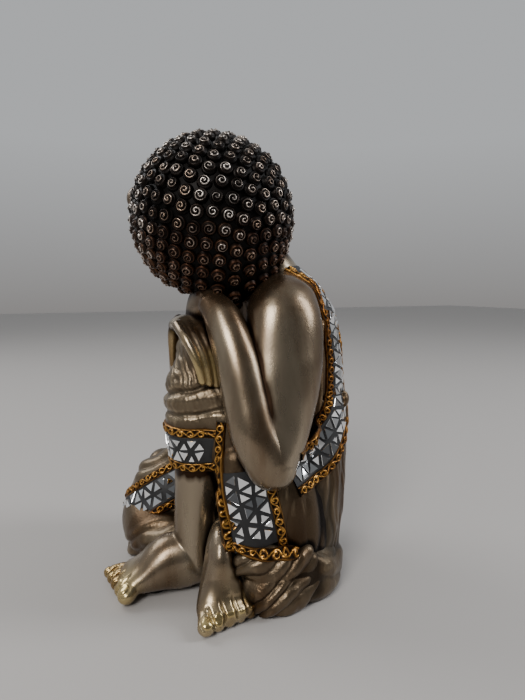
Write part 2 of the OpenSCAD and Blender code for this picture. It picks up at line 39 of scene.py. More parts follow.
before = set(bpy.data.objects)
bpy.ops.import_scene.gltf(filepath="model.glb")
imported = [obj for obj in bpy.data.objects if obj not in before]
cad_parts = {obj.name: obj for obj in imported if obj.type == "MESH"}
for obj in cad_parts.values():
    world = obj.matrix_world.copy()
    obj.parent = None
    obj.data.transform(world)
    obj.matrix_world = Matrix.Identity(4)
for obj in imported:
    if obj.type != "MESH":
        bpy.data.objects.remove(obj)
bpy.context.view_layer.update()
scene = bpy.context.scene

# ---- Keys of the castings: x, y, z, half width, half depth ----

TORSO = [(1, 45, 66, 36, 27), (0, 48, 100, 33, 26), (0, 46, 126, 33, 23), (0, 41, 144, 31, 19),
         (2, 36, 155, 23, 16), (4, 30, 164, 16, 13.5), (3, 22, 174, 13, 12)]
HIP = [(4, 38, 18, 45, 28), (4, 39, 30, 45.5, 28.6), (3, 41, 42, 44, 30), (2, 44, 60, 41, 29.5),
       (1, 47, 80, 37, 28.5), (0, 48, 94, 34.6, 27)]
SEAT = [(7, 33, -6, 42, 27), (7, 33, 3, 48, 33), (7, 33, 9, 49.5, 34), (6, 34, 17, 48, 33),
        (5, 36, 25, 42, 26)]
THIGH = [(29, 30, 26, 24, 24), (28, 23, 48, 24.5, 24.5), (21, 7, 78, 20, 20), (13, -7, 104, 17, 17)]
KNEE = [(12, -8, 112, 15, 15), (12, -10, 104, 17, 17), (13, -12, 94, 16, 16.5), (14, -12.5, 84, 14.8, 15),
        (14, -12, 70, 13.3, 13.3)]
SHIN = [(14, -12, 78, 11.6, 11.6), (14, -12, 60, 12, 12), (14, -14, 44, 10.2, 10.4),
        (14, -14.5, 30, 10.4, 11.2), (14, -14, 16, 10, 12)]
FOOT = [(15, -6, 11, 9.3, 9.5), (14, -16, 14.5, 11.3, 14), (11, -27, 14, 12.6, 14), (7, -38, 9.4, 14.6, 9),
        (4, -46, 6.6, 15.6, 5.6)]
FLAT_THIGH = [(-14, 32, 26, 22, 24), (-28, 12, 31, 24, 26.5), (-38, -6, 33, 24.5, 26), (-39, -14, 31, 22, 24)]
FLAT_SHIN = [(-40, -14, 30, 21, 23), (-36, -24, 20, 19, 19), (-22, -26, 16, 16, 15), (-4, -18, 14, 13, 13)]
ANKLE = [(-6, -19, 14, 9, 9), (10, -6, 15, 9, 10), (24, -4, 20, 8, 13), (32, -7, 23, 6.7, 18)]
SECOND_FOOT = [(29, -6, 23, 6.7, 18), (35, -8, 21, 8, 18), (42, -10, 13.4, 10.5, 12), (48, -11, 8.4, 13, 7.4),
               (52.5, -11, 6, 13.8, 5)]
UPPER_ARM = [(18, 32, 150, 12, 14), (30.5, 28, 141, 14.6, 18.8), (37.5, 24.6, 118, 14.3, 20),
             (44.5, 18, 91, 12.9, 17), (51, 11.5, 74, 11.6, 12.6)]
FOREARM = [(51.5, 11, 73, 11.2, 11.6), (48, 5, 86, 11.5, 11.5), (43, 3, 101, 11.2, 11.2),
           (36.5, 1, 120, 10.4, 10.8), (27, -2, 137, 9.2, 9.4), (19.5, -5, 145, 7.8, 7)]
LEFT_HAND = [(19.5, -5, 145, 7.8, 6.6), (13, -7, 146, 9.4, 5.6), (5, -8.5, 142.5, 10, 5),
             (0, -8.5, 133, 9.8, 4.4)]
RIGHT_UPPER_ARM = [(-16, 36, 148, 12, 12), (-30, 31, 141, 15, 16), (-37, 26, 122, 13.5, 15),
                   (-43, 16, 102, 12.2, 12.8), (-45, 6, 91, 11.6, 11.6)]
RIGHT_FOREARM = [(-45, 5, 91, 11, 11), (-37, -2, 104, 10.5, 10.5), (-25, -7, 118, 8.8, 8.8),
                 (-15, -10, 127, 7.4, 6.6)]
RIGHT_HAND = [(-15, -10, 127, 7.4, 6.4), (-4, -12, 133.5, 9.2, 5.2), (8, -13, 135.5, 9.8, 4.4),
              (17, -13, 132.5, 9.2, 4)]
ELBOW = np.array([51, 12, 74])
KNEE_BALL = np.array([-39.0, -11.0, 33.0])
LEG_CUFF_WAY = (0.48, 0.3, -0.81)

# ---- Keys of the mirror bands and trims: x, y, z and the way they face ----

SASH = [(13, 44, 164, 0.35, 0.75, 0.55), (20, 51, 150, 0.55, 0.76, 0.3), (24, 57.5, 132, 0.62, 0.77, 0.1),
        (25.5, 61.5, 112, 0.68, 0.73, 0), (29, 62, 94, 0.74, 0.67, 0), (37, 54, 80, 0.85, 0.53, 0),
        (45, 41, 70, 0.93, 0.36, 0), (51, 24, 66, 1, 0, 0)]
APRON = [(42.5, 1.7, 68, 0.8, -0.6, 0), (45, 2, 56, 0.89, -0.45, 0), (48, 3.6, 44, 0.95, -0.32, 0),
         (50.2, 5.2, 33, 0.95, -0.3, 0)]
APRON_LEFT = [(30, -3.2, 89, 0.8, -0.6, 0), (32, -5.5, 77.5, 0.8, -0.6, 0), (35, -7.4, 67.3, 0.8, -0.6, 0),
              (39.5, -8.9, 55.9, 0.8, -0.6, 0), (44, -8.2, 43.9, 0.84, -0.54, 0),
              (46.5, -6.7, 33, 0.84, -0.54, 0)]
APRON_FOOT = [(45.5, -8.5, 35, 0.86, -0.5, 0.1), (50, 2.9, 31.7, 0.93, -0.35, 0.1),
              (54, 12.3, 30.7, 0.95, -0.3, 0.1), (57, 22.3, 29.5, 0.95, -0.2, 0.1)]
APRON_RIGHT = [(49, 10, 72, 0.93, -0.35, 0), (50, 12, 60.7, 0.93, -0.35, 0), (51.5, 15, 47.6, 0.93, -0.35, 0),
               (54, 16.9, 33, 0.95, -0.3, 0)]


def unit(v):
    v = np.asarray(v, float)
    return v / np.maximum(np.linalg.norm(v, axis=-1, keepdims=True), 1e-9)


# ---- The head: its middle, the ways its crown, face, left side and neck point, and its radii ----

LOOK = np.array((-0.95, 0.1, -0.25))
CROWN = unit((-0.45, -0.85, 0.25))
FACE = unit(LOOK - np.dot(LOOK, CROWN) * CROWN)
HEAD_LEFT = np.cross(CROWN, FACE)
HEAD_AT = np.array([-2, 2.5, 189.2])
TAPER = unit((14, 10, -45))
NECK = unit((6, 24, -24))
HAIR_R, SKULL_R, TAPER_H = 40.2, 37.0, 9.5

# ---- Curves, tubes and fused skins ----


def along(keys, t):
    """Smooth values through the keys at the places t, as part.scad's along()."""
    keys = np.asarray(keys, float)
    t = np.atleast_1d(np.asarray(t, float))
    last = len(keys) - 1
    i = np.clip(np.floor(t).astype(int), 0, last - 1)
    u = (t - i)[:, None]
    a, b = keys[i], keys[i + 1]
    slope_a = (b - keys[np.maximum(i - 1, 0)]) / 2
    slope_b = (keys[np.minimum(i + 2, last)] - a) / 2
    return ((2 * u**3 - 3 * u**2 + 1) * a + (u**3 - 2 * u**2 + u) * slope_a
            + (3 * u**2 - 2 * u**3) * b + (u**3 - u**2) * slope_b)


def heading(keys, t):
    last = len(keys) - 1
    return unit(along(keys, np.minimum(t + 0.02, last))[:, :3] - along(keys, np.maximum(t - 0.02, 0))[:, :3])


def grid_faces(rows, cols, closed_cols=True):
    i = np.arange(rows - 1)[:, None]
    j = np.arange(cols if closed_cols else cols - 1)[None, :]
    k = (j + 1) % cols
    return np.stack([i * cols + j, i * cols + k, (i + 1) * cols + k, (i + 1) * cols + j], -1).reshape(-1, 4)


def tube(keys, up=UP_Z, sides=40, per=7, round_ends=True):
    """Vertices and quads of a limb, closed by small end rings."""
    last = len(keys) - 1
    t = np.linspace(0, last, per * last + 1)
    k = along(keys, t)
    ahead = heading(keys, t)
    side = unit(np.cross(np.asarray(up, float), ahead))
    top = np.cross(ahead, side)
    ends = np.radians([89, 70, 50, 32, 15]) if round_ends else np.array([])
    r0, r1 = min(k[0, 3:5]), min(k[-1, 3:5])
    centre = np.concatenate([k[0, :3] - ahead[0] * r0 * np.sin(ends)[:, None], k[:, :3],
                             k[-1, :3] + ahead[-1] * r1 * np.sin(ends[::-1])[:, None]])
    n = len(ends)
    size = np.concatenate([np.cos(ends), np.ones(len(t)), np.cos(ends[::-1])])
    pick = np.concatenate([np.zeros(n, int), np.arange(len(t)), np.full(n, len(t) - 1)])
    angle = np.linspace(0, 2 * math.pi, sides, endpoint=False)
    ring = (side[pick][:, None, :] * (k[pick, 3] * size)[:, None, None] * np.cos(angle)[None, :, None]
            + top[pick][:, None, :] * (k[pick, 4] * size)[:, None, None] * np.sin(angle)[None, :, None])
    verts = (centre[:, None, :] + ring).reshape(-1, 3)
    rows = len(centre)
    faces = [tuple(f) for f in grid_faces(rows, sides)]
    faces.append(tuple(range(sides - 1, -1, -1)))
    faces.append(tuple((rows - 1) * sides + j for j in range(sides)))
    return verts, faces


def ball(at, size, turn=None, seg=28):
    """An ellipsoid; turn is a 3 x 3 matrix whose rows are its own axes."""
    a = np.linspace(0, 2 * math.pi, seg, endpoint=False)
    b = np.radians(np.linspace(-88, 88, seg // 2))
    p = np.stack([np.cos(b)[:, None] * np.cos(a), np.cos(b)[:, None] * np.sin(a),
                  np.repeat(np.sin(b)[:, None], seg, 1)], -1).reshape(-1, 3) * np.asarray(size, float)
    if turn is not None:
        p = p @ np.asarray(turn)
    faces = [tuple(f) for f in grid_faces(len(b), seg)]
    faces.append(tuple(range(seg - 1, -1, -1)))
    faces.append(tuple((len(b) - 1) * seg + j for j in range(seg)))
    return p + np.asarray(at, float), faces


def mesh_from(name, verts, faces):
    mesh = bpy.data.meshes.new(name)
    mesh.from_pydata([tuple(v) for v in verts], [], faces)
    mesh.update()
    return mesh


def arrays_of(mesh):
    v = np.empty(len(mesh.vertices) * 3)
    mesh.vertices.foreach_get("co", v)
    e = np.empty(len(mesh.edges) * 2, np.int64)
    mesh.edges.foreach_get("vertices", e)
    n = np.empty(len(mesh.polygons), np.int64)
    mesh.polygons.foreach_get("loop_total", n)
    loops = np.empty(len(mesh.loops), np.int64)
    mesh.loops.foreach_get("vertex_index", loops)
    return v.reshape(-1, 3), e.reshape(-1, 2), n, loops


class Skin:
    """A mesh held as arrays while it is sculpted."""

    def __init__(self, verts, edges, counts, loops):
        self.v, self.e, self.n, self.loops = verts, edges, counts, loops

    def smooth(self, times):
        """Moves every vertex halfway to the middle of its neighbours, so many times."""
        a, b = self.e[:, 0], self.e[:, 1]
        size = len(self.v)
        count = np.bincount(np.concatenate([a, b]), minlength=size).clip(1)[:, None]
        for _ in range(times):
            total = np.stack([np.bincount(a, self.v[b, i], size) + np.bincount(b, self.v[a, i], size)
                              for i in range(3)], 1)
            self.v = self.v + 0.5 * (total / count - self.v)
        return self

    def spread(self, value, times):
        """Averages a value over neighbouring vertices."""
        a, b = self.e[:, 0], self.e[:, 1]
        count = np.bincount(np.concatenate([a, b]), minlength=len(self.v)).clip(1)
        for _ in range(times):
            total = np.bincount(a, value[b], len(self.v)) + np.bincount(b, value[a], len(self.v))
            value = 0.4 * value + 0.6 * total / count
        return value

    def normals(self):
        starts = np.concatenate([[0], np.cumsum(self.n)[:-1]])
        p0, p1, p2 = (self.v[self.loops[starts + i]] for i in (0, 1, 2))
        p3 = self.v[self.loops[starts + np.minimum(3, self.n - 1)]]
        face = np.cross(p2 - p0, p3 - p1)
        owner = np.repeat(np.arange(len(self.n)), self.n)
        return unit(np.stack([np.bincount(self.loops, face[owner, i], len(self.v)) for i in range(3)], 1))

    def hollow(self, times=6):
        """How far each vertex lies below its surroundings: positive in a crease and negative on a ridge."""
        before = self.v.copy()
        n = self.normals()
        self.smooth(times)
        deep = ((self.v - before) * n).sum(1)
        self.v = before
        return deep

    def push(self, distance):
        self.v = self.v + self.normals() * distance[:, None]
        return self

    def sit(self, low=FELT_TOP):
        self.v[:, 2] = np.maximum(self.v[:, 2], low)
        return self


def fuse(parts, voxel, rounds):
    """One skin around overlapping closed parts, softened where they meet."""
    verts, faces, base = [], [], 0
    for v, f in parts:
        verts.append(v)
        faces += [tuple(int(i) + base for i in face) for face in f]
        base += len(v)
    obj = bpy.data.objects.new("fuse", mesh_from("fuse", np.concatenate(verts), faces))
    scene.collection.objects.link(obj)
    mod = obj.modifiers.new("fuse", "REMESH")
    mod.mode = "VOXEL"
    mod.voxel_size = voxel
    mesh = bpy.data.meshes.new_from_object(obj.evaluated_get(bpy.context.evaluated_depsgraph_get()))
    bpy.data.objects.remove(obj)
    skin = Skin(*arrays_of(mesh))
    return skin.smooth(rounds)


def place(p):
    """Design millimetres as metres in the frame."""
    return (np.asarray(p) - MIDDLE) * 0.001


def finish_skin(name, skin, material, nodes, wear_and_shade=None, tint=None):
    """Makes the piece from its arrays. wear and tint are kept on the vertices: a number, or one for each."""
    mesh = bpy.data.meshes.new(name)
    mesh.vertices.add(len(skin.v))
    mesh.vertices.foreach_set("co", place(skin.v).ravel())
    mesh.loops.add(len(skin.loops))
    mesh.loops.foreach_set("vertex_index", skin.loops.astype(np.int32))
    mesh.polygons.add(len(skin.n))
    mesh.polygons.foreach_set("loop_start", np.concatenate([[0], np.cumsum(skin.n)[:-1]]).astype(np.int32))
    mesh.update(calc_edges=True)
    mesh.validate()
    mesh.polygons.foreach_set("use_smooth", np.ones(len(mesh.polygons), bool))
    for label, value in (("wear_and_shade", wear_and_shade), ("tint", tint)):
        if value is not None:
            values = np.broadcast_to(value, len(mesh.vertices))
            layer = mesh.attributes.new(label, "FLOAT", "POINT")
            layer.data.foreach_set("value", np.clip(values, 0, 1).astype(np.float32))
    mesh.materials.append(material)
    obj = bpy.data.objects.new(name, mesh)
    scene.collection.objects.link(obj)
    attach(obj, "root")
    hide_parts(*nodes)
    return obj


def bvh_of(*skins):
    """A tree for finding points on several skins."""
    verts, faces, base = [], [], 0
    for s in skins:
        verts += [tuple(p) for p in s.v]
        at = 0
        for n in s.n:
            faces.append([int(i) + base for i in s.loops[at:at + n]])
            at += n
        base += len(s.v)
    return BVHTree.FromPolygons(verts, faces)


def wave(p, scale, seed, warp=1.6):
    """Soft random waves, mostly from -1 to 1, at the points p, one wave each scale millimetres or so."""
    r = np.random.default_rng(seed)
    q = p * (2 * math.pi / scale)
    total = 0
    for _ in range(4):
        way, way2 = unit(r.normal(size=3)), unit(r.normal(size=3))
        bend = np.sin(q @ way2 * 0.6 + r.uniform(0, 6.3))
        total = total + np.sin(q @ way * r.uniform(0.7, 1.3) + warp * bend + r.uniform(0, 6.3))
    return total / 2.6


def ridge(x, sharp=0.75):
    """Folds from a phase in turns: round ridges with tight creases between them."""
    return 2 * np.abs(np.sin(math.pi * x)) ** sharp - 1.25


def fade(x, low, high):
    """A smooth step from 0 at low to 1 at high."""
    u = np.clip((x - low) / (high - low), 0, 1)
    return u * u * (3 - 2 * u)


def bell(at, middle, width):
    """A round bump, 1 in the middle."""
    return np.exp(-((at - middle) / width) ** 2)


# ---- Materials ----


def add_node(nodes, kind, inputs=None, **settings):
    """A new node with its settings, then the values of its sockets."""
    node = nodes.new(kind)
    for key, value in settings.items():
        setattr(node, key, value)
    for key, value in (inputs or {}).items():
        node.inputs[key].default_value = value
    return node


def set_ramp(ramp, stops):
    """Puts the stops (position, colour) on a colour ramp, which starts with two."""
    elements = ramp.color_ramp.elements
    for end, (position, colour) in ((0, stops[0]), (1, stops[-1])):
        elements[end].position = position
        elements[end].color = (*colour, 1)
    for position, colour in stops[1:-1]:
        elements.new(position).color = (*colour, 1)


def metal_paint(name, deep, body, high, rough, metallic=0.9, grain=0.42, tint=None, scratch=0.0):
    """Metallic paint from the wear on the vertices: dark wash in creases, bare metal on ridges, painted shade at
    joints.
    """
    mat = bpy.data.materials.new(name)
    mat.use_nodes = True
    nodes, links = mat.node_tree.nodes, mat.node_tree.links
    bsdf = nodes["Principled BSDF"]
    coords = add_node(nodes, "ShaderNodeTexCoord")
    streaks = add_node(nodes, "ShaderNodeMapping", {"Scale": (1, 1, 0.22)})
    links.new(coords.outputs["Object"], streaks.inputs["Vector"])

    # Wear, with the painted shade at joints, plus grain, and the colour it gives
    wear_and_shade = add_node(nodes, "ShaderNodeAttribute", attribute_name="wear_and_shade")
    noise = add_node(nodes, "ShaderNodeTexNoise", {"Scale": 220, "Detail": 5})
    links.new(streaks.outputs["Vector"], noise.inputs["Vector"])
    spread = add_node(nodes, "ShaderNodeMath", {1: grain, 2: -grain / 2}, operation="MULTIPLY_ADD")
    links.new(noise.outputs["Fac"], spread.inputs[0])
    add = add_node(nodes, "ShaderNodeMath", operation="ADD")
    links.new(wear_and_shade.outputs["Fac"], add.inputs[0])
    links.new(spread.outputs[0], add.inputs[1])
    ramp = add_node(nodes, "ShaderNodeValToRGB")
    set_ramp(ramp, [(0.16, deep), (0.46, body), (0.62, body), (0.88, high)])
    links.new(add.outputs[0], ramp.inputs["Fac"])
    colour = ramp.outputs["Color"]
    if tint is not None:
        where = add_node(nodes, "ShaderNodeAttribute", attribute_name="tint")
        mix = add_node(nodes, "ShaderNodeMix", {"B": (*tint, 1)}, data_type="RGBA", blend_type="MIX")
        links.new(where.outputs["Fac"], mix.inputs["Factor"])
        links.new(colour, mix.inputs["A"])
        colour = mix.outputs["Result"]

    # Large darker patches
    patch = add_node(nodes, "ShaderNodeTexNoise", {"Scale": 42, "Detail": 4})
    links.new(streaks.outputs["Vector"], patch.inputs["Vector"])
    patch_range = add_node(nodes, "ShaderNodeMapRange", {"From Min": 0.38, "From Max": 0.60})
    links.new(patch.outputs["Fac"], patch_range.inputs["Value"])
    darker = add_node(nodes, "ShaderNodeMix", data_type="RGBA", blend_type="MULTIPLY")
    darker.inputs["Factor"].default_value = 1.0
    darker.inputs["B"].default_value = (0.46, 0.36, 0.29, 1)
    links.new(colour, darker.inputs["A"])
    wash = add_node(nodes, "ShaderNodeMix", data_type="RGBA", blend_type="MIX")
    links.new(patch_range.outputs["Result"], wash.inputs["Factor"])
    links.new(darker.outputs["Result"], wash.inputs["A"])
    links.new(colour, wash.inputs["B"])
    links.new(wash.outputs["Result"], bsdf.inputs["Base Color"])

    # Shine, and a fine uneven surface
    bsdf.inputs["Metallic"].default_value = metallic
    rough_map = add_node(nodes, "ShaderNodeMapRange", {"To Min": rough + 0.22, "To Max": rough - 0.06})
    links.new(add.outputs[0], rough_map.inputs["Value"])
    links.new(rough_map.outputs["Result"], bsdf.inputs["Roughness"])
    fine = add_node(nodes, "ShaderNodeTexNoise", {"Scale": 900, "Detail": 3})
    links.new(coords.outputs["Object"], fine.inputs["Vector"])
    bump = add_node(nodes, "ShaderNodeBump", {"Strength": 0.12 + scratch, "Distance": 0.0003})
    links.new(fine.outputs["Fac"], bump.inputs["Height"])
    links.new(bump.outputs["Normal"], bsdf.inputs["Normal"])
    return mat


def plain(name, colour, rough, metallic=0.0):
    mat = bpy.data.materials.new(name)
    mat.use_nodes = True
    bsdf = mat.node_tree.nodes["Principled BSDF"]
    bsdf.inputs["Base Color"].default_value = (*colour, 1)
    bsdf.inputs["Roughness"].default_value = rough
    bsdf.inputs["Metallic"].default_value = metallic
    return mat


skin_paint = metal_paint("skin_paint", (0.03, 0.015, 0.007), (0.30, 0.245, 0.175), (0.70, 0.53, 0.28),
                         rough=0.21, tint=(0.56, 0.44, 0.20))
cloth_paint = metal_paint("cloth_paint", (0.007, 0.004, 0.003), (0.105, 0.074, 0.045), (0.50, 0.40, 0.26),
                          rough=0.28, grain=0.65, scratch=0.5, tint=(0.27, 0.22, 0.15))
hair_paint = metal_paint("hair_paint", (0.004, 0.003, 0.0025), (0.020, 0.014, 0.011), (0.68, 0.62, 0.56),
                         rough=0.30, metallic=0.8, grain=0.3, tint=(0.16, 0.07, 0.03))
trim_paint = metal_paint("trim_paint", (0.010, 0.006, 0.003), (0.15, 0.07, 0.018), (0.72, 0.38, 0.085),
                         rough=0.34, grain=0.2)
bed_paint = plain("bed_grout", (0.012, 0.012, 0.013), 0.55)
mirror_glass = plain("mirror_chip", (0.90, 0.91, 0.92), 0.025, 1.0)


def wear_of(skin, gain=1.6, base=0.52, times=6):
    """Wear from the skin's own creases and ridges."""
    return base - gain * skin.spread(skin.hollow(times), 1)


# ---- Castings ----


def toes(from_a, from_b, to_a, to_b, r_a, r_b, nail_way):
    """Five toes in a row with their nails, the largest first."""
    parts, nails = [], []
    for i in range(5):
        s = i / 4
        r = (r_a * (1 - s) + r_b * s) * (1.08 if i == 0 else 1.0)
        a = np.array([*(np.array(from_a) * (1 - s) + np.array(from_b) * s), r + 3.2])
        b = np.array([*(np.array(to_a) * (1 - s) + np.array(to_b) * s), r + 0.5])
        mid = a * 0.45 + b * 0.55 + np.array([0, 0, 0.9])
        parts.append(tube([(*a, r, r * 0.9), (*mid, r * 0.93, r * 0.86), (*b, r * 1.02, r * 0.98)],
                          sides=24, per=5))
        nails.append((b + np.array([0, 0, r * 0.62]) + np.array(nail_way) * r * 0.35, r))
    return parts, nails


def add_nails(skin, nails, way):
    """Raises a nail plate on each toe, with a groove around it, and cuts the gaps between the toes.

    Returns where the plates are, from 0 to 1.
    """
    plate = np.zeros(len(skin.v))
    way = unit(way)
    cross = unit(np.cross(way, (0, 0, 1)))
    lift = np.zeros(len(skin.v))
    n = skin.normals()
    for at, r in nails:
        d = skin.v - at
        x, y = d @ cross / (r * 0.66), (d @ way) / (r * 0.78)
        away = np.sqrt(x**2 + y**2)
        near = (np.abs(d @ (0, 0, 1)) < r * 1.1) & (n[:, 2] > 0.15)
        inside = near * (1 - fade(away, 0.86, 1.0))
        lift += inside * 0.22 - near * bell(away, 1.08, 0.16) * 0.3
        plate = np.maximum(plate, inside)
    for (at, _), (to, _) in zip(nails, nails[1:]):
        across = unit((to - at) * np.array([1, 1, 0]))
        d = skin.v - (at + to) / 2
        lift -= bell(d @ across, 0, 0.7) * fade(d @ way, -8, -4) * (n[:, 2] > -0.2) * 1.1
    skin.push(lift)
    return plate


def gold_near(skin, at, radius):
    """The pale gold of fingertips: 1 close to a place and 0 beyond the radius."""
    return 1 - fade(np.linalg.norm(skin.v - np.array(at), axis=1), radius * 0.4, radius)


# Bare torso and left upper arm, with the line of the spine and one beside the shoulder blade
bare = fuse([tube(TORSO, UP_Y, 64), tube(UPPER_ARM, UP_Y, 48), ball((27, 33, 143), (15, 14, 15)),
             ball((6, 40, 150), (26, 17, 12))], 0.7, 14)
x, y, z = bare.v.T
spine = bell(x, 0, 3.0) * fade(y, 52, 60)
shoulder_blade = bell(x + (z - 120) * 0.12, 13, 4.0) * fade(y, 50, 60)
bare.push(0.12 * wave(bare.v, 26, 3) - 1.0 * spine - 0.5 * shoulder_blade)
finish_skin("bare_torso_and_arm", bare, skin_paint, ["torso"], wear_of(bare), 0)

# Left forearm and hand
left_fingers = [tube([(1, -17 + i * 4.7, 137, 2.9, 2.9), (-5.5, -18.5 + i * 4.6, 130, 2.8, 2.8),
                      (-8, -18 + i * 4.4, 113 + i * 1.5, 2.2, 2.2)], up=UP_Y, sides=20) for i in range(4)]
left_thumb = tube([(10, -2, 143, 3.6, 3.6), (2, 2, 142, 3.1, 3.1), (-5, 3, 137, 2.5, 2.5)], up=UP_Y, sides=20)
forearm = fuse([tube(FOREARM, UP_Y, 44), tube(LEFT_HAND, UP_Y, 36), ball((51.5, 12, 71), (11.4, 11.4, 10.6)),
                *left_fingers, left_thumb], 0.55, 7)
forearm.push(0.1 * wave(forearm.v, 22, 5))
finish_skin("left_forearm_and_hand", forearm, skin_paint, ["left_arm", "left_hand"],
            wear_of(forearm), gold_near(forearm, (-6, -12, 122), 16) * 0.6)

# Right arm and hand, with its long fingers over the near side of the knee
right_fingers = [tube([(13, -21 + i * 4.9, 135, 2.9, 2.7), (22.5, -20 + i * 4.5, 130, 2.7, 2.7),
                       (28.5, -16.5 + i * 4, 120, 2.4, 2.5), (30, -14 + i * 3.6, 109.5 - i, 1.9, 2.1)],
                      up=UP_Y, sides=22) for i in range(4)]
right_thumb = tube([(-6, -4, 134, 3.4, 3.4), (4, -1, 136, 3, 3), (11, 0, 133, 2.4, 2.4)], sides=20)
right = fuse([tube(RIGHT_UPPER_ARM, UP_Y, 44), tube(RIGHT_FOREARM, UP_Z, 40), tube(RIGHT_HAND, UP_Z, 40),
              right_thumb, *right_fingers], 0.55, 6)
finish_skin("right_arm_and_hand", right, skin_paint, ["right_arm", "right_hand"],
            wear_of(right), gold_near(right, (28, -15, 112), 16) * 0.7)

# Raised leg, with its ankle bones
toe_parts, nails = toes((14.5, -42), (-6.5, -44), (18, -50.3), (-9.6, -54.6), 4.1, 2.9, (0, -1, 0))
leg = fuse([tube(SHIN, UP_X, 44), tube(FOOT, UP_Z, 48), ball((21.5, -9, 19), (4, 4.5, 4.5)),
            ball((6.5, -10, 18), (3.6, 4.5, 4.5)), *toe_parts], 0.5, 3)
leg.sit()
plate = add_nails(leg, nails, (0, -1, -0.55))
leg.push(0.1 * wave(leg.v, 18, 8)).sit()
finish_skin("raised_leg_skin", leg, skin_paint, ["raised_leg"], wear_of(leg) + 0.25 * plate,
            np.maximum(plate * 0.9, fade(-leg.v[:, 1], 40, 54) * 0.75))

# The flat leg's foot
toe_parts, nails = toes((48, -20), (47.5, -1.5), (56.2, -22.3), (52.4, 0.4), 3.6, 2.7, (1, 0, 0))
foot = fuse([tube(ANKLE, UP_Z, 36), tube(SECOND_FOOT, UP_Z, 44), *toe_parts], 0.45, 3)
foot.sit()
plate = add_nails(foot, nails, (1, 0, -0.55))
foot.sit()
finish_skin("second_foot_skin", foot, skin_paint, ["second_foot"], wear_of(foot) + 0.25 * plate,
            np.maximum(plate * 0.9, fade(foot.v[:, 0], 47, 56) * 0.35))

# Cloth over the raised knee, with two creases above the cuff, scratches over them and soft folds below
knee = fuse([tube(THIGH, UP_X, 56), tube(KNEE, UP_X, 56), ball((10, -13.5, 120), (17, 6.5, 13)),
             tube([(36, 3, 72, 11, 8), (39, 4, 58, 12, 8), (42, 6, 46, 12, 8), (45, 8, 31, 12, 7)],
                  UP_X, 36)], 0.7, 12)
x, y, z = knee.v.T
across = 0.31 * x + 0.95 * y + 19
near_knee = fade(z, 86, 92) * (1 - fade(y, 10, 30))
bend = 0.9 * wave(knee.v, 15, 11)
crease = 1.9 * bell(z + bend, 102.5 + 0.24 * across, 1.5) + 1.6 * bell(z - bend, 93 + 0.1 * across, 1.4)
crease -= 0.7 * bell(z, 98.5 + 0.16 * across, 2.6)
scratches = ridge((0.9 * across + 0.28 * z) / 2.7 + 0.55 * wave(knee.v, 10, 12), 0.7)
hang = ridge((y * 0.9 + x * 0.5) / 6.5 + 0.4 * wave(knee.v, 40, 14), 0.8)
knee.push(near_knee * (0.4 * scratches * (0.3 + 0.7 * fade(z, 102, 108)) - crease)
          + 0.35 * hang * fade(-z, -72, -62)).smooth(1)
finish_skin("raised_knee_folds", knee, cloth_paint, ["raised_knee_cloth"],
            wear_of(knee, 1.5), 0.45 * near_knee)

# Hips and seat
hips = fuse([tube(HIP, UP_Y, 72, round_ends=False)], 0.8, 6)
x, y, z = hips.v.T
turn = np.arctan2(y - 42, x - 2)
folds = ridge(turn * 3.4 + 0.35 * np.sin(z / 13) + 0.28 * wave(hips.v, 46, 21), 0.7)
fine = ridge(turn * 9.5 + 0.5 * wave(hips.v, 30, 22), 0.9)
hips.push(0.55 * folds * fade(94 - z, 4, 18) + 0.22 * fine + 0.25 * wave(hips.v, 12, 23)).smooth(2)
finish_skin("hip_cloth_folds", hips, cloth_paint, ["hip_cloth"], wear_of(hips, 1.9), 0.25)

seat = fuse([tube(SEAT, UP_Y, 72, round_ends=False), ball((49, 30, 14), (8, 19, 12.5))], 0.8, 8)
x, y, z = seat.v.T
turn = np.arctan2(y - 33, x - 6)
folds = ridge(z / 15 + turn * 0.9 + 0.5 * wave(seat.v, 30, 31), 0.8)
seat.push(0.54 * folds + 0.35 * wave(seat.v, 14, 32)).smooth(2).sit()
finish_skin("seat_folds", seat, cloth_paint, ["seat_fold"], wear_of(seat, 1.5), 0.2)

# Pleated drapery between the near foot and the seat
drape = fuse([tube([(48, -3, 25, 3, 5), (51, 5, 25, 6, 8), (52, 17, 23, 7, 9), (52, 30, 23, 5, 7)], sides=36),
              tube([(49, 1, 13, 3, 8), (53, 8, 11, 6, 11), (54, 20, 9, 6, 10), (52, 33, 11, 4, 7)],
                   sides=36)], 0.5, 5)
x, y, z = drape.v.T
pleat = ridge((z * 0.62 - y * 0.5) / 6.2 + 0.3 * wave(drape.v, 26, 41), 0.7)
drape.push(1.15 * pleat + 0.25 * wave(drape.v, 9, 42)).smooth(1).sit()
finish_skin("side_drapery_pleats", drape, cloth_paint, ["side_drapery"],
            wear_of(drape, 1.5), 0.55)

# Cloth over the flat leg, smooth where the cuff lies
flat = fuse([tube(FLAT_THIGH, UP_Z, 56), tube(FLAT_SHIN, UP_Z, 48),
             ball(KNEE_BALL, (24.6, 24.6, 24.6), seg=56),
             ball((-34, -31, 3), (13, 10, 7)), ball((-20, -30, 3), (10, 8, 6))], 0.75, 12)
off = (flat.v - KNEE_BALL) @ unit(LEG_CUFF_WAY)
clear = fade(np.abs(off), 9, 15)
folds = ridge(off / 8.5 + 0.35 * wave(flat.v, 40, 51), 0.8)
flat.push(clear * (0.88 * folds + 0.5 * wave(flat.v, 15, 52))).smooth(2).sit()
finish_skin("flat_leg_folds", flat, cloth_paint, ["flat_leg_cloth"], wear_of(flat, 1.5), 0.6)

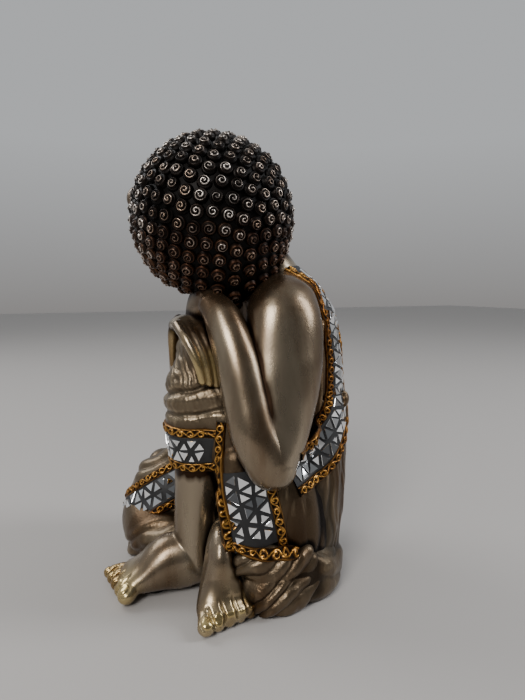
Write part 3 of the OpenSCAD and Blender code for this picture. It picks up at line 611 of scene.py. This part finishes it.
# Robe over the right shoulder, the back and the right upper arm. Outside its edge it sinks into the torso.
robe = fuse([tube([(x, y, z, w + 1.7, d + 1.7) for x, y, z, w, d in TORSO[:6]], UP_Y, 72),
             tube([(x, y, z, w + 2, d + 2) for x, y, z, w, d in RIGHT_UPPER_ARM[:4]], UP_Y, 44)], 0.8, 10)
x, y, z = robe.v.T
edge_way = math.radians(40)
edge = (x - 22) * math.cos(edge_way) + (y - 70) * math.sin(edge_way) + 4
inside = fade(-edge, -1.0, 0.6) * fade(z, 84, 88) * (1 - fade(z, 158, 163)) * fade(y + 0.35 * (z - 100), 6, 12)
folds = ridge((x * 0.62 + z * 0.5) / 13 + 0.3 * wave(robe.v, 44, 61), 0.8)
robe.push(inside * (0.75 * folds + 0.25 * wave(robe.v, 13, 62)) - (1 - inside) * 3.4).smooth(1)
finish_skin("robe_folds", robe, cloth_paint, ["robe"], wear_of(robe, 1.6), 0.2)

# Knot at the back of the sash
knot = fuse([ball((23.5, 66, 93.5), (6, 3.6, 5)), ball((26, 65.5, 87), (3.4, 2.8, 6.5)),
             ball((20.5, 68, 88), (3, 2.4, 6))], 0.4, 4)
knot.push(0.35 * ridge(knot.v[:, 0] / 3.1 + 0.3 * wave(knot.v, 14, 71)))
finish_skin("sash_knot_folds", knot, cloth_paint, ["sash_knot"], wear_of(knot), 0.4)


def paint_joint_shade(pieces, reach=4.0, depth=0.6):
    """Darkens every piece where another casting or the hair comes close: painted shade between the parts, taken off
    the wear.
    """
    trees = {name: bvh_of(skin) for name, skin in pieces.items()}
    for name, skin in pieces.items():
        near = np.full(len(skin.v), reach)
        for other, tree in trees.items():
            if other == name:
                continue
            low, high = pieces[other].v.min(axis=0) - reach, pieces[other].v.max(axis=0) + reach
            for i in np.flatnonzero(np.all((skin.v > low) & (skin.v < high), axis=1)):
                gap = tree.find_nearest(skin.v[i], near[i])[3]
                if gap is not None:
                    near[i] = gap
        to_hair = np.clip((np.linalg.norm(skin.v - HEAD_AT, axis=1) - 41) / 9, 0, 1)
        # Painted shade: darker the closer another casting or the hair lies
        shade = depth * np.maximum((1 - near / reach) ** 1.3, (1 - to_hair) ** 1.5)
        if name in ("bare_torso_and_arm", "left_forearm_and_hand"):
            shade *= fade(np.linalg.norm(skin.v - ELBOW, axis=1), 15, 26)
        layer = bpy.data.meshes[name].attributes["wear_and_shade"].data
        wear_and_shade = np.empty(len(layer), np.float32)
        layer.foreach_get("value", wear_and_shade)
        layer.foreach_set("value", np.clip(wear_and_shade - shade, 0, 1).astype(np.float32))


# Painted shade where the castings and the hair come close
paint_joint_shade({"bare_torso_and_arm": bare, "left_forearm_and_hand": forearm, "right_arm_and_hand": right,
             "raised_leg_skin": leg, "second_foot_skin": foot, "raised_knee_folds": knee,
             "hip_cloth_folds": hips, "seat_folds": seat, "side_drapery_pleats": drape, "flat_leg_folds": flat})

# ---- Head ----

IN_HEAD = np.stack([HEAD_LEFT, -FACE, CROWN])


def head_point(x, y, z):
    return HEAD_AT + np.array([x, y, z]) @ IN_HEAD


def head_ball(x, y, z, size, seg=28):
    """An ellipsoid in the head's frame: +x its left, -y the way it faces, +z its crown."""
    return ball(head_point(x, y, z), size, IN_HEAD, seg)


def head_tube(points, sides=20, per=5):
    return tube([(*head_point(*p[:3]), p[3], p[3]) for p in points], up=tuple(FACE), sides=sides, per=per)


def reach(d, r):
    """How far the head goes out in the direction d: a ball of radius r that tapers to the nape."""
    return r + TAPER_H * np.maximum(0, d @ TAPER) ** 7


def hair_share(d):
    """1 where hair grows and 0 on the face, about the ears and under the neck, much as part.scad's is_hair()."""
    x, y, z = (d @ HEAD_LEFT) * HAIR_R, -(d @ FACE) * HAIR_R, (d @ CROWN) * HAIR_R
    oval = fade((x / 27) ** 2 + ((z + 6) / 30) ** 2, 1.05, 1.3) * fade(z, -24, -21)
    front = np.maximum(fade(y, -6, -3), oval)
    beside_ear = (1 - fade(np.abs(y + 9), 6.5, 8.5)) * fade(np.abs(x), 25, 28)
    ear = beside_ear * fade(z, -26, -23) * (1 - fade(z, 8, 11))
    return front * (1 - ear) * (1 - fade(d @ NECK, 0.93, 0.95))


def round_form(rows, sides, radius):
    """Points about the crown's axis, at a radius that depends on their direction, and their faces."""
    tilt = np.radians(np.linspace(-89, 89, rows))[:, None]
    turn = np.linspace(0, 2 * math.pi, sides, endpoint=False)[None, :]
    d = (np.cos(tilt)[..., None] * np.cos(turn)[..., None] * HEAD_LEFT
         + np.cos(tilt)[..., None] * np.sin(turn)[..., None] * np.cross(CROWN, HEAD_LEFT)
         + (np.sin(tilt) + 0 * turn)[..., None] * CROWN).reshape(-1, 3)
    verts = HEAD_AT + d * radius(d)[:, None]
    faces = [tuple(f) for f in grid_faces(rows, sides)]
    faces.append(tuple(range(sides - 1, -1, -1)))
    faces.append(tuple((rows - 1) * sides + j for j in range(sides)))
    return verts, faces


face_parts = [round_form(40, 72, lambda d: reach(d, SKULL_R - 0.6)),
              head_ball(0, -7, -4, (31, 30, 33), seg=48), head_ball(0, -13, -22, (21, 20, 17), seg=40)]
for s in (-1, 1):
    face_parts += [
        head_tube([(s * 33, -13, 7, 2.3), (s * 35.2, -10, 10.5, 1.9), (s * 36.4, -4, 8, 2), (s * 36, -3, -2, 1.9),
                   (s * 34.8, -7, -9, 2.1), (s * 33.4, -10, -16, 2.9), (s * 31.8, -11.5, -23, 3.2)]),
        head_tube([(s * 33, -13, 6, 1.9), (s * 33.8, -14, 0, 1.7), (s * 33.4, -12, -8, 2.1),
                   (s * 32.2, -12, -20, 2.7)]),
        head_ball(s * 33, -8, -1, (2.6, 5.2, 9.5)),
    ]
head = fuse(face_parts, 0.6, 14)


def calm_face(x, z):
    """How far a plain sleeping face stands out of the head, at x to either side and z up from the eye line."""
    side = np.abs(x)
    down = np.clip((9 - z) / 18, 0, 1)
    bridge = 7 * down ** 1.15 * fade(z, -14, -11) * bell(x, 0, 2.5 + 1.5 * down)
    wings = 2.4 * bell(side, 4.4, 2.2) * bell(z, -10.4, 2.4)
    nostrils = 1.1 * bell(side, 2.3, 1.1) * bell(z, -13.2, 0.9)
    brows = 1.5 * bell(side, 11, 8) * bell(z + 0.02 * (side - 11) ** 2, 9, 2.4)
    eyes = 2.9 * bell(side, 12.2, 6.2) * bell(z, 0.8, 3.4)
    sockets = 2.4 * bell(side, 11.5, 8) * bell(z, 2.4, 5.6)
    cheeks = 1.4 * bell(side, 15, 8) * bell(z, -10, 8)
    groove = 0.5 * bell(x, 0, 1.2) * bell(z, -15.4, 1.7)
    upper_lip = 2.0 * bell(z, -17.7 + 0.02 * x ** 2, 1.5) * np.exp(-(x / 6.8) ** 4)
    lower_lip = 2.3 * bell(z, -21.2 + 0.03 * x ** 2, 1.8) * np.exp(-(x / 5.6) ** 4)
    chin = 2.2 * bell(x, 0, 7) * bell(z, -29, 4.6) - 0.9 * bell(x, 0, 6) * bell(z, -24.8, 1.5)
    from_eye = side - 12.2
    lid = 0.2 - 1.7 * (1 - (from_eye / 7) ** 2)
    lid_lines = 0.9 * (1 - fade(np.abs(from_eye), 5.6, 7.2)) * bell(z, lid, 0.5)
    lid_folds = 0.4 * (1 - fade(np.abs(from_eye), 5.6, 7.4)) * bell(z, 4.9 - 0.035 * from_eye ** 2, 0.6)
    mouth = 1.1 * (1 - fade(side, 6.4, 8)) * bell(z, -19.4 + 0.022 * x ** 2, 0.5)
    raised = bridge + wings + brows + eyes + cheeks + upper_lip + lower_lip + chin
    return raised - nostrils - sockets - groove - lid_lines - lid_folds - mouth


q = (head.v - HEAD_AT) @ IN_HEAD.T
head.v = head.v + FACE * (calm_face(q[:, 0], q[:, 2]) * fade(-q[:, 1], 12, 21))[:, None]
head.smooth(1)
finish_skin("head_and_face", head, skin_paint, ["head"], wear_of(head, 1.3), 0)

# Hair: a close cap, then snail curls in rows about the crown
cap_v, cap_f = round_form(90, 150, lambda d: reach(d, SKULL_R - 1.6) + hair_share(d) * 4.2)
curl_rings, curl_sides, curl_r, curl_up = 14, 30, 3.6, 2.9
rr = np.concatenate([[0.0], np.linspace(0.09, 1, curl_rings - 1)])
aa = np.linspace(0, 2 * math.pi, curl_sides, endpoint=False)
R, A = np.meshgrid(rr, aa, indexing="ij")
coil = np.abs(np.cos(0.5 * A - math.pi * R * 2.35)) ** 1.6
dome = np.sqrt(np.maximum(0, 1 - (R * 0.97) ** 2.6))
curl_h = curl_up * dome + (coil - 0.5) * 1.25 * np.minimum(1, R * 5) * (1 - 0.45 * R) + 0.4 * (R < 0.2)
curl_wear = 0.24 + 0.86 * np.minimum(1, 0.2 + R * 5) * coil**1.6 * (1 - fade(R, 0.55, 0.95)) * dome
verts, faces, wears, tints = [cap_v], list(cap_f), [np.full(len(cap_v), 0.12)], [np.zeros(len(cap_v))]
base = len(cap_v)
spacing = 7.05
rows = int(round(math.pi * HAIR_R / spacing))
for row in range(rows + 1):
    tilt = math.pi / 2 - math.pi * row / rows
    count = max(1, int(round(2 * math.pi * HAIR_R * math.cos(tilt) / spacing)))
    for k in range(count):
        turn = 2 * math.pi * (k + 0.5 * (row % 2)) / count + rng.uniform(-0.012, 0.012) + row * 0.37
        d = unit(math.cos(tilt) * math.cos(turn) * HEAD_LEFT
                 + math.cos(tilt) * math.sin(turn) * np.cross(CROWN, HEAD_LEFT) + math.sin(tilt) * CROWN)
        if hair_share(d[None])[0] < 0.6 or d @ CROWN > 0.985:
            continue
        x = unit(np.cross(d, (0.3, 0.2, 0.93)))
        y = np.cross(d, x)
        spin = rng.uniform(0, 2 * math.pi)
        hand = 1 if rng.random() < 0.8 else -1
        size = rng.uniform(0.93, 1.04)
        px = R * np.cos(A * hand + spin) * curl_r * size
        py = R * np.sin(A * hand + spin) * curl_r * size
        root = reach(d[None], HAIR_R)[0] - 1.0 - (px**2 + py**2) / (2 * HAIR_R)
        pts = HEAD_AT + d * (root + curl_h * size)[..., None] + x * px[..., None] + y * py[..., None]
        verts.append(pts.reshape(-1, 3))
        ring = grid_faces(curl_rings, curl_sides)
        if hand < 0:
            ring = ring[:, ::-1]
        faces += [tuple(int(i) + base for i in f) for f in ring]
        wears.append((curl_wear * rng.uniform(0.7, 1.06)).ravel())
        tints.append((float(fade(np.array(-d[2]), -0.1, 0.8)) * 0.55 * coil).ravel())
        base += R.size
hair_mesh = mesh_from("hair", np.concatenate(verts), faces)
hair = Skin(*arrays_of(hair_mesh))
finish_skin("hair_curls", hair, hair_paint, ["hair_cap"], np.concatenate(wears),
            np.concatenate(tints))

knob_v, knob_f = ball(HEAD_AT + CROWN * (HAIR_R - 1), (6.8, 6.8, 6.8), seg=48)
knob = Skin(*arrays_of(mesh_from("knob", knob_v, knob_f)))
finish_skin("crown_knob_dome", knob, skin_paint, ["crown_knob"], 0.5, 0)

# ---- Mirror bands ----

TRIM_W = 4.6
SCROLL_PITCH = 5.0


class Band:
    """A ribbon laid on the castings. at(s, u) gives the point s mm along and u mm across, and how it faces."""

    def __init__(self, frames, half, tree, closed=False, lift=0.0, rise=8.0):
        mid, side, out = (np.array([f[i] for f in frames], float) for i in range(3))
        self.closed = closed
        steps = np.linalg.norm(np.diff(np.vstack([mid, mid[:1]]) if closed else mid, axis=0), axis=1)
        self.run = np.concatenate([[0], np.cumsum(steps)])
        self.length = self.run[-1]
        self.u = np.linspace(-half, half, 15)
        grid = np.empty((len(mid), len(self.u), 3))
        for i in range(len(mid)):
            for j, u in enumerate(self.u):
                p = mid[i] + side[i] * u
                start = p + out[i] * rise
                hit = tree.ray_cast(Vector(start), Vector(-out[i]), rise + 9)[0]
                grid[i, j] = p if hit is None else np.array(hit)
        for _ in range(6):
            g = grid.copy()
            if closed:
                g = (np.roll(grid, 1, 0) + np.roll(grid, -1, 0)) / 2
            else:
                g[1:-1] = (grid[:-2] + grid[2:]) / 2
            grid = 0.5 * grid + 0.5 * g
            g = grid.copy()
            g[:, 1:-1] = (grid[:, :-2] + grid[:, 2:]) / 2
            grid = 0.6 * grid + 0.4 * g
        if closed:
            grid = np.concatenate([grid, grid[:1]])
            out = np.concatenate([out, out[:1]])
        self.grid, self.out = grid + out[:, None, :] * lift, out

    def at(self, s, u):
        s = np.mod(s, self.length) if self.closed else np.clip(s, 0, self.length)
        i = np.clip(np.searchsorted(self.run, s, side="right") - 1, 0, len(self.run) - 2)
        i = np.minimum(i, len(self.grid) - 2)
        a = np.clip((s - self.run[i]) / np.maximum(self.run[i + 1] - self.run[i], 1e-9), 0, 1)
        w = np.clip((u - self.u[0]) / (self.u[-1] - self.u[0]) * (len(self.u) - 1), 0, len(self.u) - 1.001)
        j = w.astype(int)
        b = w - j
        a, b = a[..., None], b[..., None]
        g = self.grid
        p = ((1 - a) * (1 - b) * g[i, j] + a * (1 - b) * g[i + 1, j]
             + (1 - a) * b * g[i, j + 1] + a * b * g[i + 1, j + 1])
        along_way = g[i + 1, j] - g[i, j]
        across_way = g[i, j + 1] - g[i, j]
        n = unit(np.cross(along_way, across_way))
        flip = np.sign((n * self.out[i]).sum(-1, keepdims=True))
        return p, n * np.where(flip == 0, 1, flip)


def ribbon(name, band, u_from, u_to, height, material, nodes, step, wear_and_shade=None):
    """A ribbon over part of the band's width, with its own height over the castings."""
    rows = max(3, int(band.length / step))
    cols = max(5, int((u_to - u_from) / step))
    s, u = np.meshgrid(np.linspace(0, band.length, rows, endpoint=not band.closed),
                       np.linspace(u_from, u_to, cols), indexing="ij")
    h = height(s, (u - u_from) / (u_to - u_from))
    p, n = band.at(s, u)
    p = p + n * h[..., None]
    low_a, n_a = band.at(s[:, :1], u[:, :1])
    low_b, n_b = band.at(s[:, -1:], u[:, -1:])
    full = np.concatenate([low_a - n_a * 1.2, p, low_b - n_b * 1.2], 1)
    cols += 2
    faces = grid_faces(rows, cols, False)
    if band.closed:
        j = np.arange(cols - 1)
        last = (rows - 1) * cols
        faces = np.concatenate([faces, np.stack([last + j, last + j + 1, j + 1, j], 1)])
    verts = full.reshape(-1, 3)
    mesh = mesh_from(name, verts, [tuple(map(int, f)) for f in faces])
    skin = Skin(*arrays_of(mesh))
    worn = None
    if wear_and_shade is not None:
        inner = wear_and_shade(s, (u - u_from) / (u_to - u_from))
        worn = np.concatenate([np.full((rows, 1), 0.1), inner, np.full((rows, 1), 0.1)], 1).ravel()
    return finish_skin(name, skin, material, nodes, worn)


def scroll(s, v):
    """Relief of a running scroll, from 0 to 1: curls that turn by turns over a vine, between two beads."""
    y = (v - 0.5) * TRIM_W
    cell = np.floor(s / SCROLL_PITCH)
    hand = np.where(cell % 2 == 0, 1.0, -1.0)
    x = s - (cell + 0.5) * SCROLL_PITCH
    yy = (y - 0.15 * hand) * hand
    r = np.hypot(x, yy)
    a = np.arctan2(yy, x)
    coil = (0.5 + 0.5 * np.cos(a - r * 3.3)) ** 1.4 * (1 - fade(r, 1.65, 2.1))
    vine = bell(y, 1.35 * np.sin(math.pi * s / SCROLL_PITCH), 0.38)
    bead = bell(np.abs(y), TRIM_W * 0.45, 0.3) * 0.8
    return np.clip(np.maximum(np.maximum(coil, vine), bead), 0, 1)


def rounded(v):
    """1 across a strip, falling to 0 at its edges."""
    return np.minimum(1, np.minimum(v, 1 - v) * 9)


def trim(name, band, u_from, u_to, nodes):
    return ribbon(name, band, u_from, u_to, lambda s, v: rounded(v) * 1.1 + 0.85 * scroll(s, v) * rounded(v),
                  trim_paint, nodes, 0.3, lambda s, v: 0.12 + 0.85 * scroll(s, v))


def bed(name, band, half, nodes):
    return ribbon(name, band, -half, half, lambda s, v: 0.75 + 0 * s, bed_paint, nodes, 0.8)


def mosaic(name, band, half, nodes, keep=None, rows=2, side=7.2):
    """Flat triangular mirror chips in rows, each its own way up."""
    verts, faces = [], []
    start, end = 0.5, band.length - 0.5
    depth = half - 0.35
    gap, low_h, rim_h, top_h = 0.9, -0.4, 1.3, 1.45
    for row in range(rows):
        v0, v1 = (depth * (2 * (row + i) / rows - 1) for i in (0, 1))
        count = int((end - start) / (side * 0.5))
        low = [start + k * side * 0.5 + rng.uniform(-1.0, 1.0) for k in range(count + 2)]
        for k in range(count):
            pts = []
            for m in (k, k + 1, k + 2):
                top = (m + row) % 2 == 0
                inner = 0 < (row + top) < rows
                pts.append((low[m], (v1 if top else v0) + (rng.uniform(-0.4, 0.4) if inner else 0)))
            tri = np.array(pts)
            centre = tri.mean(0)
            if centre[0] + side / 2 > end:
                continue
            rad = np.linalg.norm(tri - centre, axis=1).mean()
            tri = centre + (tri - centre) * (1 - gap * rng.uniform(1.1, 2.3) / rad)
            c, n = band.at(np.array([centre[0]]), np.array([centre[1]]))
            c, n = c[0], unit(n[0] + np.array([rng.uniform(-0.21, 0.21) for _ in range(3)]))
            if keep is not None and not keep(c):
                continue
            p, _ = band.at(tri[:, 0], tri[:, 1])
            p = p - n * ((p - c) @ n)[:, None]
            if np.linalg.norm(p - c, axis=1).max() > side:
                continue
            mid = p.mean(0)
            rim = mid + (p - mid) * 0.93
            k0 = len(verts)
            verts += [*(p + n * low_h), *(p + n * rim_h), *(rim + n * top_h)]
            order = (0, 1, 2) if np.dot(np.cross(p[1] - p[0], p[2] - p[0]), n) > 0 else (0, 2, 1)
            a, b, c3 = order
            faces.append((k0 + 6 + a, k0 + 6 + b, k0 + 6 + c3))
            for i, j in ((a, b), (b, c3), (c3, a)):
                faces.append((k0 + i, k0 + j, k0 + 3 + j, k0 + 3 + i))
                faces.append((k0 + 3 + i, k0 + 3 + j, k0 + 6 + j, k0 + 6 + i))
            faces.append((k0 + a, k0 + c3, k0 + b))
    skin = Skin(*arrays_of(mesh_from(name, np.array(verts), faces)))
    obj = finish_skin(name, skin, mirror_glass, nodes)
    obj.data.polygons.foreach_set("use_smooth", np.zeros(len(obj.data.polygons), bool))
    return obj


def mirror_band(name, band, half, low, high, keep=None):
    """A band with its dark bed, its mirror chips and a trim along each edge. low and high name the trims."""
    bed(name + "_grout", band, half + 0.2, [name + "_bed"])
    trim(name + "_scrolls_" + low[0], band, -half - TRIM_W, -half, [low[1]])
    trim(name + "_scrolls_" + high[0], band, half, half + TRIM_W, [high[1]])
    mosaic(name + "_chips", band, half + 0.1, [name + "_mirrors"], keep=keep)


def band_frames(keys, per=12):
    """Points along the keys, with the ways across and out at each."""
    t = np.linspace(0, len(keys) - 1, per * (len(keys) - 1) + 1)
    k = along(keys, t)
    ahead = heading(keys, t)
    face = unit(k[:, 3:6] - (k[:, 3:6] * ahead).sum(1, keepdims=True) * ahead)
    return list(zip(k[:, :3], np.cross(face, ahead), face, strict=True))


def hoop(centre, axis, r, count=96):
    """Points round an axis, with the ways across and out at each."""
    up = unit(axis)
    side = unit(np.cross(np.cross(up, (0.2, 0.3, 1.0) if abs(up[2]) < 0.9 else (1, 0, 0)), up))
    top = np.cross(up, side)
    a = -np.linspace(0, 2 * math.pi, count, endpoint=False)
    out = side * np.cos(a)[:, None] + top * np.sin(a)[:, None]
    return [(np.array(centre) + o * r, up, o) for o in out]


knee_band = Band(hoop((14.3, -11.8, 76.7), (0.06, -0.04, 1), 14.5), 11.2, bvh_of(knee), closed=True)
mirror_band("knee_cuff", knee_band, 6.5, ("low", "knee_cuff_trims"), ("high", "knee_cuff_trims"),
            keep=lambda c: c[1] < -5)

leg_band = Band(hoop(KNEE_BALL, LEG_CUFF_WAY, 25.2), 11.7, bvh_of(flat), closed=True)
mirror_band("leg_cuff", leg_band, 7.0, ("low", "leg_cuff_trims"), ("high", "leg_cuff_trims"),
            keep=lambda c: c[1] < 4 and c[2] > 10)

sash_band = Band(band_frames(SASH), 12.2, bvh_of(bare, hips, knee, robe))
mirror_band("sash", sash_band, 7.5, ("outer", "sash_outer_trim"), ("inner", "sash_inner_trim"))

lap_tree = bvh_of(knee, hips)
apron_band = Band(band_frames(APRON), 10.8, lap_tree)
bed("apron_grout", apron_band, 10.6, ["apron_bed"])
mosaic("apron_chips", apron_band, 9.9, ["apron_mirrors"], rows=3, side=7.4)
for edge, keys, tree in (("left", APRON_LEFT, lap_tree), ("foot", APRON_FOOT, bvh_of(knee, hips, drape, seat, foot)),
                         ("right", APRON_RIGHT, lap_tree)):
    trim("apron_scrolls_" + edge, Band(band_frames(keys), 2.6, tree, lift=0.5), -2.4, 2.4, ["apron_trim"])

# ---- Materials of the CAD nodes that stay ----

steel = plain("dowel_steel", (0.5, 0.5, 0.5), 0.35, 1.0)
felt = plain("felt", (0.03, 0.03, 0.03), 0.95)
for name, mat in (("neck_dowel", steel), ("arm_dowels", steel), ("foot_dowels", steel), ("felt_pads", felt)):
    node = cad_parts[name]
    node.data.materials.clear()
    node.data.materials.append(mat)

# ---- Floor, light and camera ----

floor_mesh = mesh_from("floor", np.array([(-3, -3, 0), (3, -3, 0), (3, 3, 0), (-3, 3, 0)]), [(0, 1, 2, 3)])
floor = bpy.data.objects.new("floor", floor_mesh)
floor_mesh.materials.append(plain("floor", (0.44, 0.42, 0.405), 0.6))
scene.collection.objects.link(floor)

world = bpy.data.worlds.new("studio")
world.use_nodes = True
scene.world = world
wn, wl = world.node_tree.nodes, world.node_tree.links
coords = add_node(wn, "ShaderNodeTexCoord")
split = add_node(wn, "ShaderNodeSeparateXYZ")
wl.new(coords.outputs["Generated"], split.inputs[0])
# Brighter above than below
height = add_node(wn, "ShaderNodeMapRange", {"From Min": -1})
ramp = add_node(wn, "ShaderNodeValToRGB")
set_ramp(ramp, [(0.42, (0.30, 0.27, 0.25)), (0.62, (0.78, 0.80, 0.82))])
wl.new(split.outputs["Z"], height.inputs["Value"])
wl.new(height.outputs["Result"], ramp.inputs["Fac"])
# Dimmer toward +X, so that metal and mirrors have something dark to reflect
dimmer = add_node(wn, "ShaderNodeMapRange", {"From Min": -0.1, "From Max": 0.7, "To Min": 1.0, "To Max": 0.22})
dimmed = add_node(wn, "ShaderNodeVectorMath", operation="SCALE")
wl.new(split.outputs["X"], dimmer.inputs["Value"])
wl.new(ramp.outputs["Color"], dimmed.inputs[0])
wl.new(dimmer.outputs["Result"], dimmed.inputs["Scale"])
wl.new(dimmed.outputs["Vector"], wn["Background"].inputs["Color"])
wn["Background"].inputs["Strength"].default_value = 0.6


def soft_light(at, to, size, power, colour=(1, 1, 1)):
    data = bpy.data.lights.new("soft_light", "AREA")
    data.shape = "RECTANGLE"
    data.size, data.size_y = size
    data.energy = power
    data.color = colour
    obj = bpy.data.objects.new("soft_light", data)
    obj.location = at
    obj.rotation_mode = "QUATERNION"
    obj.rotation_quaternion = (Vector(to) - Vector(at)).to_track_quat("-Z", "Y")
    scene.collection.objects.link(obj)


soft_light((0.9, -0.9, 1.1), (0, 0, 0.12), (0.55, 0.7), 17, (1, 0.98, 0.95))
soft_light((0.5, 1.1, 0.9), (0, 0, 0.1), (0.35, 0.9), 11, (0.95, 0.97, 1))
soft_light((-0.7, -0.6, 0.9), (0, 0, 0.15), (0.6, 0.6), 5)

camera_data = bpy.data.cameras.new("camera")
camera_data.lens = 27.2
camera_data.sensor_width = 36
camera_data.clip_start = 0.01
camera = bpy.data.objects.new("camera", camera_data)
azimuth, pitch = math.radians(66), math.radians(6.9)
ahead = Vector((-math.sin(azimuth) * math.cos(pitch), math.cos(azimuth) * math.cos(pitch), -math.sin(pitch)))
camera.location = Vector(place(EYE))
camera.rotation_mode = "QUATERNION"
camera.rotation_quaternion = ahead.to_track_quat("-Z", "Y")
scene.collection.objects.link(camera)
scene.camera = camera
